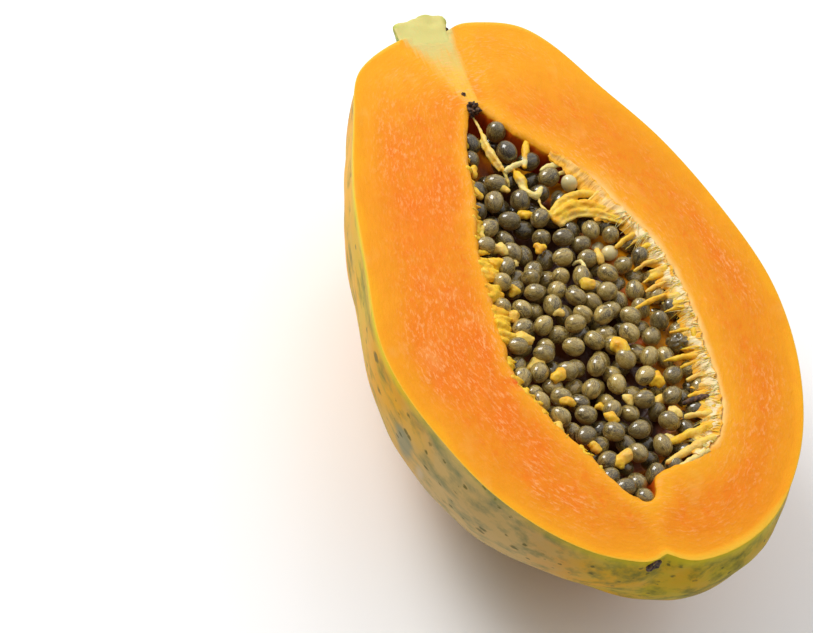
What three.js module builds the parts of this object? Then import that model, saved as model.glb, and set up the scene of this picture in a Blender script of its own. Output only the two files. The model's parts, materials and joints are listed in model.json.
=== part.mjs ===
// Half a ripe papaya, cut lengthwise through its stalk and lying on its skin with the cut face up.
// Millimetres. X runs across the fruit, +Y points to the stalk, -Y to the blossom end, +Z is up.
// Outlines are drawn on the cut face, at z = 0; the finished half is lifted onto its resting spot.

import * as THREE from 'three';

// ---- Driving dimensions ----

const SKIN_DEPTH = 69;             // cut face to the lowest point of the round skin
const FLAT_SPOT = 0.6;             // how far that lowest point is pressed flat where it rests
const SKIN_POLE = [7.6, 1.2];      // where the lowest point lies under the cut face
const CAVITY_DEPTH = 30;           // cut face to the floor of the seed cavity
const CAVITY_POLE = [11, -16];     // where the cavity is deepest
const CAVITY_FULLNESS = 2.3;       // 2 is an ellipse, more is a squarer bowl
const CLEARANCE = 0.4;             // gap between neighbouring pieces

// Edge of the cut face, from the blossom end round by the wide side to the stalk and back.
const RIM_OUTLINE = [
  [0, -97.3], [9, -98], [20, -96.5], [33, -90.5], [46, -78], [56, -63], [65, -40], [68.8, -15],
  [65.5, 13], [58, 42], [47.6, 65], [38.5, 85], [31, 93.5], [20, 96.3], [8, 96.5], [-9, 92],
  [-20, 86], [-27, 79.5], [-33, 63.5], [-42, 36], [-48, 6], [-52, -17], [-51, -32], [-46, -50],
  [-39, -67], [-29, -81], [-18, -90.5], [-8, -95],
];

// Edge of the seed cavity on the cut face, in the same order: a teardrop with its tip towards the stalk.
const CAVITY_OUTLINE = [
  [3.5, -78.6], [7.5, -71], [18, -68.3], [28, -63.7], [35, -52], [38.2, -35], [40.5, -16],
  [39.3, 3], [33, 21], [27, 35.5], [19, 44], [12.5, 51.5], [4.9, 63], [-0.7, 53], [-4.6, 40],
  [-8, 26], [-13, 10.5], [-14.6, -1], [-16, -11], [-17.2, -23], [-19, -33], [-15.5, -42.5],
  [-12.6, -52], [-8.5, -60], [-5, -69], [-1.5, -76],
];

// How full the skin bulges below the rim, by direction in degrees from +X: 2 is an ellipse.
const SKIN_FULLNESS = [
  [-180, 2.2], [-165, 2.0], [-120, 1.9], [-90, 2.3], [-70, 2.43], [0, 2.3], [90, 2.25], [150, 2.45],
  [180, 2.2],
];
const RIM_LENGTH_TO_WIDTH = 1.61;  // the rim's proportions, by which those directions are read

// The blossom scar sits in a short groove that notches the rim.
const NOTCH = { depth: 3.3, halfWidth: 2.5, drop: 14 };

// The stalk stub, cut lengthwise with the fruit: distance along Y, its left and right edges.
const STUB_SECTIONS = [
  { y: 93.9, left: -9.2, right: 7.0 },
  { y: 96.4, left: -9.2, right: 7.6 },
  { y: 98.4, left: -8.1, right: 8.1 },
  { y: 100.2, left: -3.4, right: 7.5 },
  { y: 101.2, left: 1.8, right: 5.6 },
];
const STUB_SEAT = { y: 93.2, x: -0.9, halfWidth: 10.5, drop: 14 };   // the shallow flat it grows from

// Placental tissue: the bed that the seeds stand on, and the strands that show between them.
const BED_TOP = 9.2;               // cut face to the top of the bed
const BED_CROWN = 1.6;             // how much the bed's middle lies lower than its edge
const BED_LEVELS = [27, 22, 15];   // depths at which the bed follows the cavity's wall
const STRANDS = {
  placenta_strand_tip: {
    radius: 1.1,
    route: [[4.8, 57, -3], [5.2, 50, -3], [6.6, 44, -3.2], [8.4, 38, -3.8]],
  },
  placenta_fold: {
    radius: 1.7,
    route: [[15, 28.5, -3.4], [20, 26.5, -2.8], [25, 23.5, -2.8], [28.3, 20.5, -3.4]],
  },
  placenta_margin: {
    radius: 1.5,
    route: [[28.5, 26, -3], [34, 10, -3], [37.2, -6, -3], [37.2, -22, -3], [35, -38, -3], [31.5, -52, -3.2]],
  },
};

// Seeds: each an egg a little over 6 mm long, scattered one layer deep over the bed.
const SEED = {
  length: 6.3, width: 5.4, thickness: 5.1, spread: 0.05, tilt: 0.5, depth: 4.2, depthRange: 1.1,
};
const SEED_PITCH = 8.6;            // spacing of the rows that the seeds are scattered from
const SEED_FIRST_ROW = 2.0;        // the first row's distance from the cavity's end
const SEED_SCATTER = 1.1;          // how far a seed may stray from its place in the row
const SEED_MARGIN = 4.1;           // seed centre to the cavity's edge
const STRAND_MARGIN = 5.2;         // seed centre to the middle of a strand
const SEED_GAP = { x: [-4, 9], y: [-9, 16] };   // an open hollow among the seeds

// Mesh density
const ROUND = 96;                  // points round the rim and the cavity
const SKIN_RINGS = 12;
const CAVITY_RINGS = 7;
const BED_ROUND = 48;
const SEED_SIDES = 8;
const SEED_BANDS = 6;

// ---- Finishes ----

const finish = (color, roughness) => new THREE.MeshStandardMaterial({ color, roughness, metalness: 0 });
const flesh = finish('#f5922b', 0.45);
const stalk = finish('#d9c85a', 0.6);
const placenta = finish('#e9b23c', 0.5);
const seedCoat = finish('#4f4a3a', 0.25);

// ---- Geometry helpers ----

/** A closed body from rings of equal count; the first and last rings are closed flat. */
function loft(rings) {
  const count = rings[0].length;
  const points = rings.flat();
  const faces = [];
  for (let ring = 0; ring + 1 < rings.length; ring += 1) {
    for (let i = 0; i < count; i += 1) {
      const next = (i + 1) % count;
      const [a, b] = [ring * count + i, ring * count + next];
      const [c, d] = [a + count, b + count];
      faces.push([a, b, d], [a, d, c]);
    }
  }
  const capCentre = (ring) => ring.reduce((sum, p) => sum.add(p), new THREE.Vector3()).divideScalar(count);
  const first = points.push(capCentre(rings[0])) - 1;
  const last = points.push(capCentre(rings.at(-1))) - 1;
  const lastRing = (rings.length - 1) * count;
  for (let i = 0; i < count; i += 1) {
    const next = (i + 1) % count;
    faces.push([first, next, i], [last, lastRing + i, lastRing + next]);
  }
  const volume = faces.reduce((sum, [a, b, c]) => {
    const normal = new THREE.Vector3().crossVectors(points[b], points[c]);
    return sum + points[a].dot(normal);
  }, 0);
  const outward = volume > 0 ? faces : faces.map(([a, b, c]) => [a, c, b]);
  const geometry = new THREE.BufferGeometry().setFromPoints(points);
  geometry.setIndex(outward.flat());
  geometry.computeVertexNormals();
  return geometry;
}

/** A closed smooth outline through the given points, sampled evenly. */
function sampleOutline(outline, count) {
  const corners = outline.map(([x, y]) => new THREE.Vector3(x, y, 0));
  const curve = new THREE.CatmullRomCurve3(corners, true, 'centripetal');
  curve.arcLengthDivisions = 1200;
  return curve.getSpacedPoints(count).slice(0, count);
}

/** Value at an angle, read smoothly from a list of [degrees, value] that runs from -180 to 180. */
function readByDirection(list, degrees) {
  const after = Math.max(1, list.findIndex(([angle]) => angle >= degrees));
  const [[lowAngle, low], [highAngle, high]] = list.slice(after - 1, after + 1);
  return THREE.MathUtils.lerp(low, high, THREE.MathUtils.smoothstep(degrees, lowAngle, highAngle));
}

/** The share of a bowl's width left at a share of its depth, on a rounded profile of that fullness. */
const bowlWidth = (depthShare, fullness) => (1 - depthShare ** fullness) ** (1 / fullness);

/** One level ring of a bowl that narrows from its rim to a point over its pole. */
function bowlRing(rim, [poleX, poleY], depth, level, fullnessAt) {
  return rim.map((p) => {
    const share = bowlWidth(level / depth, fullnessAt(p));
    return new THREE.Vector3(poleX + (p.x - poleX) * share, poleY + (p.y - poleY) * share, -level);
  });
}

/** Depths of a bowl's rings, closer together towards a flat floor just short of its full depth. */
function bowlLevels(depth, count) {
  const floorAngle = Math.asin((depth - FLAT_SPOT) / depth);
  return Array.from({ length: count }, (_, i) => depth * Math.sin(((i + 1) / count) * floorAngle));
}

// ---- Fruit: skin and flesh grown as one piece ----

/** How full the skin is below a point of the rim. */
function skinFullness(p) {
  const angle = Math.atan2((p.y - SKIN_POLE[1]) / RIM_LENGTH_TO_WIDTH, p.x - SKIN_POLE[0]);
  return readByDirection(SKIN_FULLNESS, THREE.MathUtils.radToDeg(angle));
}

/** Presses the blossom groove and the stalk's seat into a point of the skin. */
function dent(p) {
  const atBlossomEnd = p.y < 0;
  if (atBlossomEnd) {
    const groove = Math.exp(-((p.x / NOTCH.halfWidth) ** 2) - (p.z / NOTCH.drop) ** 2);
    p.y += NOTCH.depth * groove;
  }
  const inSeat = Math.hypot((p.x - STUB_SEAT.x) / STUB_SEAT.halfWidth, p.z / STUB_SEAT.drop) < 1;
  if (inSeat) p.y = Math.min(p.y, STUB_SEAT.y);
  return p;
}

function fruitHalf() {
  const rim = sampleOutline(RIM_OUTLINE, ROUND);
  const cavityRim = sampleOutline(CAVITY_OUTLINE, ROUND);
  const skin = bowlLevels(SKIN_DEPTH, SKIN_RINGS).map((level) => (
    bowlRing(rim, SKIN_POLE, SKIN_DEPTH, level, skinFullness).map(dent)
  ));
  const cavity = bowlLevels(CAVITY_DEPTH, CAVITY_RINGS).map((level) => (
    bowlRing(cavityRim, CAVITY_POLE, CAVITY_DEPTH, level, () => CAVITY_FULLNESS)
  ));
  return loft([...skin.reverse(), rim.map(dent), cavityRim, ...cavity]);
}

// ---- Stalk stub: half a round stalk, flat on the cut side ----

function stalkStub() {
  const archSteps = 10;
  const rings = STUB_SECTIONS.map(({ y, left, right }) => {
    const radius = (right - left) / 2;
    const middle = (right + left) / 2;
    return Array.from({ length: archSteps + 1 }, (_, i) => {
      const angle = Math.PI + (i / archSteps) * Math.PI;
      return new THREE.Vector3(middle + radius * Math.cos(angle), y, radius * Math.sin(angle));
    });
  });
  return loft(rings);
}

// ---- Placental tissue ----

/** The bed: it fills the lower cavity, a little clear of its wall, and sinks towards the middle. */
function placentaBed() {
  const cavityRim = sampleOutline(CAVITY_OUTLINE, BED_ROUND);
  const clear = (ring) => {
    const [poleX, poleY] = CAVITY_POLE;
    return ring.map((p) => {
      const inward = new THREE.Vector3(poleX - p.x, poleY - p.y, 0);
      const reach = Math.min(inward.length(), 3 * CLEARANCE);
      return p.clone().add(inward.setLength(reach)).setZ(p.z + CLEARANCE);
    });
  };
  const wall = [CAVITY_DEPTH - FLAT_SPOT, ...BED_LEVELS, BED_TOP + CLEARANCE].map((level) => (
    clear(bowlRing(cavityRim, CAVITY_POLE, CAVITY_DEPTH, level, () => CAVITY_FULLNESS))
  ));
  const edge = wall.at(-1);
  const top = [0.7, 0.35].map((share) => edge.map((p) => new THREE.Vector3(
    CAVITY_POLE[0] + (p.x - CAVITY_POLE[0]) * share,
    CAVITY_POLE[1] + (p.y - CAVITY_POLE[1]) * share,
    -BED_TOP - BED_CROWN * (1 - share ** 2),
  )));
  return loft([...wall, ...top]);
}

const strandCurve = (route) => new THREE.CatmullRomCurve3(route.map((p) => new THREE.Vector3(...p)));

/** A round strand along a smooth route, drawn in to blunt ends. */
function strand({ radius, route }) {
  const sides = 8;
  const curve = strandCurve(route);
  const steps = Math.round(curve.getLength() / (2.5 * radius));
  const up = new THREE.Vector3(0, 0, 1);
  const rings = Array.from({ length: steps + 1 }, (_, step) => {
    const share = step / steps;
    const centre = curve.getPointAt(share);
    const across = new THREE.Vector3().crossVectors(curve.getTangentAt(share), up).normalize();
    const swell = radius * (0.45 + 0.55 * Math.sin(share * Math.PI) ** 0.5);
    return Array.from({ length: sides }, (_, i) => {
      const angle = (i / sides) * 2 * Math.PI;
      return centre.clone()
        .addScaledVector(across, swell * Math.cos(angle))
        .addScaledVector(up, swell * Math.sin(angle));
    });
  });
  return loft(rings);
}

// ---- Seeds ----

/** A repeatable scatter value between -1 and 1 for a seed and a purpose. */
function scatter(index, purpose) {
  const mixed = Math.sin(index * 12.9898 + purpose * 78.233) * 43758.5453;
  return 2 * (mixed - Math.floor(mixed)) - 1;
}

/** Distance from a place on the cut face to the nearest of some points. */
const clearOf = (x, y, points) => Math.min(...points.map((p) => Math.hypot(p.x - x, p.y - y)));

/** Whether a place lies inside a closed outline. */
function insideOutline(x, y, outline) {
  return outline.reduce((inside, p, i) => {
    const q = outline.at(i - 1);
    const crosses = (p.y > y) !== (q.y > y) && x < p.x + ((q.x - p.x) * (y - p.y)) / (q.y - p.y);
    return crosses ? !inside : inside;
  }, false);
}

/** Seed places: rows set like a honeycomb, kept off the wall, the strands and the open hollow. */
function seedPlaces() {
  const wall = sampleOutline(CAVITY_OUTLINE, 240);
  const span = new THREE.Box3().setFromPoints(wall);
  const strands = Object.values(STRANDS).flatMap(({ route }) => strandCurve(route).getSpacedPoints(40));
  const rowPitch = SEED_PITCH * Math.sin(Math.PI / 3);
  const places = [];
  for (let row = 0, y = span.min.y + SEED_FIRST_ROW; y < span.max.y; row += 1, y += rowPitch) {
    for (let x = span.min.x + (row % 2) * (SEED_PITCH / 2); x < span.max.x; x += SEED_PITCH) {
      const index = places.length + 1;
      const px = x + SEED_SCATTER * scatter(index, 1);
      const py = y + SEED_SCATTER * scatter(index, 2);
      const inHollow = px > SEED_GAP.x[0] && px < SEED_GAP.x[1] && py > SEED_GAP.y[0] && py < SEED_GAP.y[1];
      const offStrands = clearOf(px, py, strands) > STRAND_MARGIN;
      if (insideOutline(px, py, wall) && clearOf(px, py, wall) > SEED_MARGIN && offStrands && !inHollow) {
        places.push({ x: px, y: py, z: -SEED.depth + SEED.depthRange * scatter(index, 3) });
      }
    }
  }
  return places;
}

function seedGeometry(index) {
  const size = 1 + SEED.spread * scatter(index, 4);
  const geometry = new THREE.SphereGeometry(0.5, SEED_SIDES, SEED_BANDS);
  return geometry.scale(SEED.thickness * size, SEED.length * size, SEED.width * size);
}

// ---- Assembly ----

const onCutFace = new THREE.Group();

function addPiece(name, geometry, material) {
  const mesh = new THREE.Mesh(geometry, material.clone());
  mesh.name = name;
  onCutFace.add(mesh);
  return mesh;
}

addPiece('fruit_half', fruitHalf(), flesh);
addPiece('stalk_stub', stalkStub(), stalk);
addPiece('placenta_bed', placentaBed(), placenta);
Object.entries(STRANDS).forEach(([name, shape]) => addPiece(name, strand(shape), placenta));
seedPlaces().forEach((place, i) => {
  const seed = addPiece(`seed_${String(i + 1).padStart(2, '0')}`, seedGeometry(i), seedCoat);
  seed.position.set(place.x, place.y, place.z);
  seed.rotation.set(SEED.tilt * scatter(i, 5), 0, Math.PI * scatter(i, 6));
});

// The origin lies under the middle of the half, on the surface that it rests on.
const box = new THREE.Box3().setFromObject(onCutFace, true);
const middle = box.getCenter(new THREE.Vector3());
onCutFace.position.set(-middle.x, -middle.y, -box.min.z);

const group = new THREE.Group();
group.add(onCutFace);

export default group;
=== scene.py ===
"""Half a ripe papaya, cut lengthwise through its stalk and lying on its skin, cut face up.

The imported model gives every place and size. X runs across the fruit, +Y points to its stalk and +Z is up.
Lengths are in millimetres where a name or comment doesn't say otherwise, and MM turns them into metres.
"""

from __future__ import annotations

import json
import logging
import math
from dataclasses import dataclass, field
from enum import Enum
from functools import partial
from typing import Any, Callable, Sequence

import bpy
import numpy as np
from mathutils import Matrix, Vector, kdtree, noise

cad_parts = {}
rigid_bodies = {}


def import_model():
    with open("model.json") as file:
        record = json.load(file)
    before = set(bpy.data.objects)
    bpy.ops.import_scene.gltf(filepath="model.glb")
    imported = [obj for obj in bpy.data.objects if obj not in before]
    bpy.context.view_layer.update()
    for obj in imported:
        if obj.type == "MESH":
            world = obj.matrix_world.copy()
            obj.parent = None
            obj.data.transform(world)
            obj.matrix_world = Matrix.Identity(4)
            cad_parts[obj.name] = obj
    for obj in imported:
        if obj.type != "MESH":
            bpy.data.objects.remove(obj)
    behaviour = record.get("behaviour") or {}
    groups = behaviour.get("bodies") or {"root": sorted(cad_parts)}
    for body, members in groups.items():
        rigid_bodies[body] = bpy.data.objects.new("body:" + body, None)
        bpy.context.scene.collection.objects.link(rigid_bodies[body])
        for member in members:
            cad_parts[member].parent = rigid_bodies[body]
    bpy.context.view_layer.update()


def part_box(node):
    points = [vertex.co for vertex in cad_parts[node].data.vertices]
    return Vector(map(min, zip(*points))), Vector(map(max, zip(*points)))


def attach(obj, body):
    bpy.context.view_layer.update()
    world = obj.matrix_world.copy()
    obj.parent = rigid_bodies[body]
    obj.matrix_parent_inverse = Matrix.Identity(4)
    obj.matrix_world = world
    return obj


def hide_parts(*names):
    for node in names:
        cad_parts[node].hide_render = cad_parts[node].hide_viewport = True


MM = 0.001
BODY = "root"
LOG = logging.getLogger("papaya")
Piece = bpy.types.Object
Material = bpy.types.Material
Luck = np.random.Generator
Triple = tuple[float, float, float]

# The least and the most, or the start and the end, of something.
Span = tuple[float, float]


# ---- Small tools shared by every piece ----


def linear(code: str) -> tuple[float, float, float, float]:
    """Turns an sRGB hex colour into linear RGBA.

    Args:
        code: Six hex digits, with or without a hash.

    Returns:
        Linear red, green, blue and an alpha of 1.
    """
    digits = code.lstrip("#")
    channels = [int(digits[i : i + 2], 16) / 255 for i in (0, 2, 4)]
    red, green, blue = (c / 12.92 if c <= 0.04045 else ((c + 0.055) / 1.055) ** 2.4 for c in channels)
    return red, green, blue, 1.0


def add_node(
    tree: bpy.types.NodeTree,
    kind: str,
    settings: dict[str | int, Any] | None = None,
    links: dict[str | int, Any] | None = None,
) -> bpy.types.Node:
    """Adds a shader node with its settings and incoming links.

    Args:
        tree: The material's node tree.
        kind: The node's type without its prefix, such as TexNoise.
        settings: Node properties or input values by name or number; "stops" lists a ramp's (place, colour).
        links: What to plug into inputs, by input name or number: a socket, a node for its first output,
            or the name of a number stored per vertex.

    Returns:
        The new node.
    """

    def find(sockets: Any, key: str | int) -> bpy.types.NodeSocket:
        """Finds a socket.

        Args:
            sockets: The node's inputs.
            key: Its name, if it is in use, or its number.

        Returns:
            The socket.
        """
        if isinstance(key, int):
            return sockets[key]
        return next(socket for socket in sockets if socket.enabled and socket.name == key)

    node = tree.nodes.new("ShaderNode" + kind)
    for name, value in (settings or {}).items():
        if name == "stops":
            ramp = node.color_ramp
            while len(ramp.elements) < len(value):
                ramp.elements.new(0.5)
            for element, (place, colour) in zip(ramp.elements, value):
                element.position = place
                element.color = linear(colour)
        elif isinstance(name, str) and hasattr(node, name):
            setattr(node, name, value)
        else:
            is_colour = isinstance(value, str) and value.startswith("#")
            find(node.inputs, name).default_value = linear(value) if is_colour else value
    for name, source in (links or {}).items():
        if isinstance(source, str):
            source = add_node(tree, "Attribute", {"attribute_name": source}).outputs["Fac"]
        elif isinstance(source, bpy.types.Node):
            source = next(s for s in source.outputs if s.enabled)
        tree.links.new(source, find(node.inputs, name))
    return node


def pitch(x: float, y: float | None = None, z: float | None = None) -> Triple:
    """Returns the scale at which one unit of a pattern spans these millimetres; y and z default to x."""
    return 1 / (x * MM), 1 / ((y or x) * MM), 1 / ((z or x) * MM)


def only(piece: Piece) -> None:
    """Makes a piece the one selected and active object.

    Args:
        piece: The piece.
    """
    if bpy.context.mode != "OBJECT":
        bpy.ops.object.mode_set(mode="OBJECT")
    bpy.ops.object.select_all(action="DESELECT")
    piece.select_set(True)
    bpy.context.view_layer.objects.active = piece


def add_object(name: str, operator: Callable[..., Any], **settings: Any) -> Piece:
    """Adds an object and names it.

    Args:
        name: Its name.
        operator: What adds it, such as bpy.ops.mesh.primitive_plane_add.
        **settings: The operator's settings.

    Returns:
        The object, which is selected and active.
    """
    bpy.ops.object.select_all(action="DESELECT")
    operator(**settings)
    bpy.context.object.name = name
    return bpy.context.object


def apply_modifier(piece: Piece, kind: str, **settings: Any) -> None:
    """Adds a modifier to a piece and applies it.

    Args:
        piece: The object to change.
        kind: The modifier's type, such as SUBSURF.
        **settings: The modifier's properties.
    """
    only(piece)
    modifier = piece.modifiers.new(kind.title(), kind)
    for name, value in settings.items():
        setattr(modifier, name, value)
    bpy.ops.object.modifier_apply(modifier=modifier.name)


def places(piece: Piece) -> np.ndarray:
    """Reads a piece's vertex places.

    Args:
        piece: The piece.

    Returns:
        The places as an array of rows, in metres.
    """
    flat = np.empty(len(piece.data.vertices) * 3)
    piece.data.vertices.foreach_get("co", flat)
    return flat.reshape(-1, 3)


def normals(piece: Piece) -> np.ndarray:
    """Returns a piece's vertex normals as an array of rows."""
    return np.array([vertex.normal for vertex in piece.data.vertices])


def set_places(piece: Piece, rows: np.ndarray) -> None:
    """Writes an array of rows back as a piece's vertex places."""
    piece.data.vertices.foreach_set("co", np.asarray(rows, dtype=float).ravel())
    piece.data.update()


def push(piece: Piece, distance: np.ndarray) -> None:
    """Moves each of a piece's vertices outwards by its own distance in millimetres."""
    set_places(piece, places(piece) + normals(piece) * (distance * MM)[:, None])


def set_field(piece: Piece, name: str, values: np.ndarray) -> None:
    """Stores one number per vertex under a name that materials can read."""
    stored = piece.data.attributes.get(name) or piece.data.attributes.new(name, "FLOAT", "POINT")
    stored.data.foreach_set("value", np.asarray(values, dtype=np.float32))


def get_field(piece: Piece, name: str) -> np.ndarray:
    """Reads the numbers stored per vertex under a name.

    Args:
        piece: The piece.
        name: The name.

    Returns:
        One number per vertex.
    """
    values = np.empty(len(piece.data.vertices), dtype=np.float32)
    piece.data.attributes[name].data.foreach_get("value", values)
    return values


def rough(rows: np.ndarray, size: float | Triple, seed: int) -> np.ndarray:
    """Reads smooth noise at some places.

    Args:
        rows: Places in metres, one per row.
        size: Length of one bump in millimetres, the same every way or one for each axis.
        seed: Moves the pattern, so that two readings differ.

    Returns:
        A value from about -1 to 1 for each place.
    """
    scaled = rows / (np.broadcast_to(size, 3) * MM) + np.array((17.3, 5.7, 11.9)) * seed
    return np.array([noise.noise(row) for row in scaled])


@dataclass(frozen=True)
class Wave:
    """One layer of noise: its height, the length of its bumps in millimetres, and which pattern it is."""

    height: float
    size: float | Triple
    seed: int


Waves = tuple[Wave, ...]


def relief(rows: np.ndarray, waves: Sequence[Wave]) -> np.ndarray:
    """Returns the height of some layers of noise together at some places given in metres."""
    return sum(wave.height * rough(rows, wave.size, wave.seed) for wave in waves)


def fade(values: np.ndarray | float, start: float, end: float) -> np.ndarray:
    """Returns 0 before start and 1 past end, with a smooth step between; start may be the larger."""
    share = np.clip((np.asarray(values, dtype=float) - start) / (end - start), 0, 1)
    return share * share * (3 - 2 * share)


@dataclass(frozen=True)
class Onset:
    """Something that sets in between two numbers, up to a strength; its start may be the larger number."""

    start: float
    end: float
    most: float = 1.0

    def at(self, values: np.ndarray | float) -> np.ndarray:
        """Returns how strong it is at some numbers."""
        return self.most * fade(values, self.start, self.end)


def tree_of(rows: Sequence[Sequence[float]]) -> kdtree.KDTree:
    """Builds a search tree that finds the nearest of some places.

    Args:
        rows: The places.

    Returns:
        The tree, which counts them in the order given.
    """
    tree = kdtree.KDTree(len(rows))
    for index, row in enumerate(rows):
        tree.insert(row, index)
    tree.balance()
    return tree


def distance_to(rows: np.ndarray, line: np.ndarray) -> np.ndarray:
    """Returns how far each row lies from the nearest row of a line, in millimetres, seen from above."""
    tree = tree_of([(x, y, 0) for x, y, _ in line])
    return np.array([tree.find((x, y, 0))[2] for x, y, _ in rows]) / MM


def copy_node(node: str, name: str) -> Piece:
    """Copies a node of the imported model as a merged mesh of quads.

    Args:
        node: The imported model's node.
        name: The new piece's name.

    Returns:
        The copy, which stands where the node is.
    """
    source = bpy.data.objects[node]
    piece = bpy.data.objects.new(name, source.data.copy())
    bpy.context.scene.collection.objects.link(piece)
    piece.data.materials.clear()
    only(piece)
    bpy.ops.object.mode_set(mode="EDIT")
    bpy.ops.mesh.select_all(action="SELECT")
    bpy.ops.mesh.remove_doubles(threshold=0.02 * MM)
    bpy.ops.mesh.tris_convert_to_quads(face_threshold=math.pi, shape_threshold=math.pi)
    bpy.ops.object.mode_set(mode="OBJECT")
    return piece


def select_faces(piece: Piece, test: Callable[[bpy.types.MeshPolygon], bool]) -> None:
    """Selects exactly the faces that pass a test, and stays in edit mode.

    Args:
        piece: The piece.
        test: Says whether a face is selected.
    """
    only(piece)
    bpy.ops.object.mode_set(mode="EDIT")
    bpy.ops.mesh.select_mode(type="FACE")
    bpy.ops.mesh.select_all(action="DESELECT")
    bpy.ops.object.mode_set(mode="OBJECT")
    for face in piece.data.polygons:
        face.select = bool(test(face))
    bpy.ops.object.mode_set(mode="EDIT")


def smooth(piece: Piece, degrees: float = 180) -> None:
    """Shades a piece smooth, but for edges sharper than some degrees."""
    only(piece)
    bpy.ops.object.shade_smooth_by_angle(angle=math.radians(degrees))


def join(pieces: Sequence[Piece], name: str) -> Piece:
    """Joins pieces into one and names it.

    Args:
        pieces: The pieces.
        name: The new name.

    Returns:
        The joined piece.
    """
    only(pieces[0])
    for piece in pieces:
        piece.select_set(True)
    bpy.ops.object.join()
    pieces[0].name = name
    return pieces[0]


def hand_over(piece: Piece, material: Material, slot: str | None, *nodes: str) -> None:
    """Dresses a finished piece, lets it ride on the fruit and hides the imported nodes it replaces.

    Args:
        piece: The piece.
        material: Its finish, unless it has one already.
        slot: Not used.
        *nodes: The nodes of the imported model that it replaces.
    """
    if not piece.data.materials:
        piece.data.materials.append(material)
    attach(piece, BODY)
    if nodes:
        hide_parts(*nodes)
    LOG.info("%s: %d faces", piece.name, len(piece.data.polygons))


@dataclass(frozen=True)
class CutFace:
    """The plane of the cut, on which places are given as millimetres across, along and below it."""

    height: float

    def place(self, x: float, y: float, below: float = 0.0) -> Vector:
        """Returns a place in metres from millimetres across, along and below the cut face."""
        return Vector((x * MM, y * MM, self.height - below * MM))

    def below(self, rows: np.ndarray) -> np.ndarray:
        """Returns how far each row lies below the cut face, in millimetres."""
        return (self.height - rows[:, 2]) / MM

    def depth(self, place: Vector) -> float:
        """Returns how far one place lies below the cut face, in millimetres."""
        return (self.height - place.z) / MM


# ---- Finishes ----


def soft(weight: float, depth: float, colours: Triple = (1.0, 0.2, 0.1)) -> dict[str, Any]:
    """Returns shader inputs that let light sink some millimetres in, further for some colours."""
    return {"Subsurface Weight": weight, "Subsurface Radius": colours, "Subsurface Scale": depth * MM}


class Recipe:
    """A material in the making: its node tree and the colour laid down so far."""

    def __init__(self, name: str) -> None:
        """Starts an empty material.

        Args:
            name: What the real material is called.
        """
        self.material = bpy.data.materials.new(name)
        self.material.use_nodes = True
        self.tree = self.material.node_tree
        self.tree.nodes.clear()
        self.node = partial(add_node, self.tree)
        self.place = self.node("TexCoord").outputs["Object"]
        self.colour: str | bpy.types.Node = "#FFFFFF"

    def noise(self, scale: Sequence[float], vector: Any = None, **settings: float) -> bpy.types.Node:
        """Adds a noise pattern.

        Args:
            scale: How many bumps fit in one unit along each axis.
            vector: The coordinates it follows; without any, the places in the piece's own frame.
            **settings: The noise's inputs.

        Returns:
            The noise, about 0.5 on average.
        """
        vector = self.place if vector is None else vector
        stretched = self.node("Mapping", {"Scale": scale}, {"Vector": vector})
        return self.node("TexNoise", {"Scale": 1.0, **settings}, {"Vector": stretched})

    def wander(self, number: Any, noise: bpy.types.Node, reach: float) -> bpy.types.Node:
        """Lets a number wander with a noise, by half the reach either way."""
        shift = self.node("Math", {"operation": "MULTIPLY_ADD", 1: reach, 2: -reach / 2}, {0: noise})
        return self.node("Math", {"operation": "ADD"}, {0: number, 1: shift})

    def grade(self, depth: Any, deepest: float, stops: Sequence[tuple[float, str]]) -> None:
        """Lays down colours that follow a depth.

        Args:
            depth: The depth, in millimetres.
            deepest: The depth at which the last colour is reached.
            stops: Each colour and its share of the deepest depth.
        """
        share = self.node("MapRange", {"From Max": deepest}, {"Value": depth})
        self.colour = self.node("ValToRGB", {"stops": stops}, {"Fac": share})

    def lay(
        self,
        colour: str | bpy.types.Node,
        by: Any,
        span: Span | None = None,
        most: float = 1.0,
        within: Sequence[Any] = (),
    ) -> None:
        """Lays a colour over what is there.

        Args:
            colour: The colour.
            by: The number that says how strongly it shows, or that a span turns into a strength.
            span: The numbers at which the colour starts to show and at which it shows most.
            most: Its greatest strength.
            within: Further numbers that each hold it back.
        """
        if span:
            reach = {"From Min": span[0], "From Max": span[1], "To Max": most}
            by = self.node("MapRange", reach, {"Value": by})
        for limit in within:
            by = self.node("Math", {"operation": "MULTIPLY"}, {0: by, 1: limit})
        sides = {"A": self.colour, "B": colour}
        plain = {side: value for side, value in sides.items() if isinstance(value, str)}
        made = {side: value for side, value in sides.items() if side not in plain}
        self.colour = self.node("Mix", {"data_type": "RGBA", **plain}, {"Factor": by, **made})

    def finish(
        self,
        relief: Sequence[tuple[bpy.types.Node, float, float]],
        surface: dict[str | int, Any],
        links: dict[str | int, Any] | None = None,
    ) -> Material:
        """Ends the material with its relief and its surface.

        Args:
            relief: The pattern, strength and height in millimetres of each layer of bumps, the finest first.
            surface: The shader's inputs.
            links: What else to plug into the shader.

        Returns:
            The material.
        """
        links = {"Base Color": self.colour, **(links or {})}
        normal = {}
        for pattern, strength, height in relief:
            bump = {"Strength": strength, "Distance": height * MM}
            normal = {"Normal": self.node("Bump", bump, {"Height": pattern, **normal})}
        shader = self.node("BsdfPrincipled", surface, {**links, **normal})
        self.node("OutputMaterial", links={"Surface": shader})
        return self.material


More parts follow.
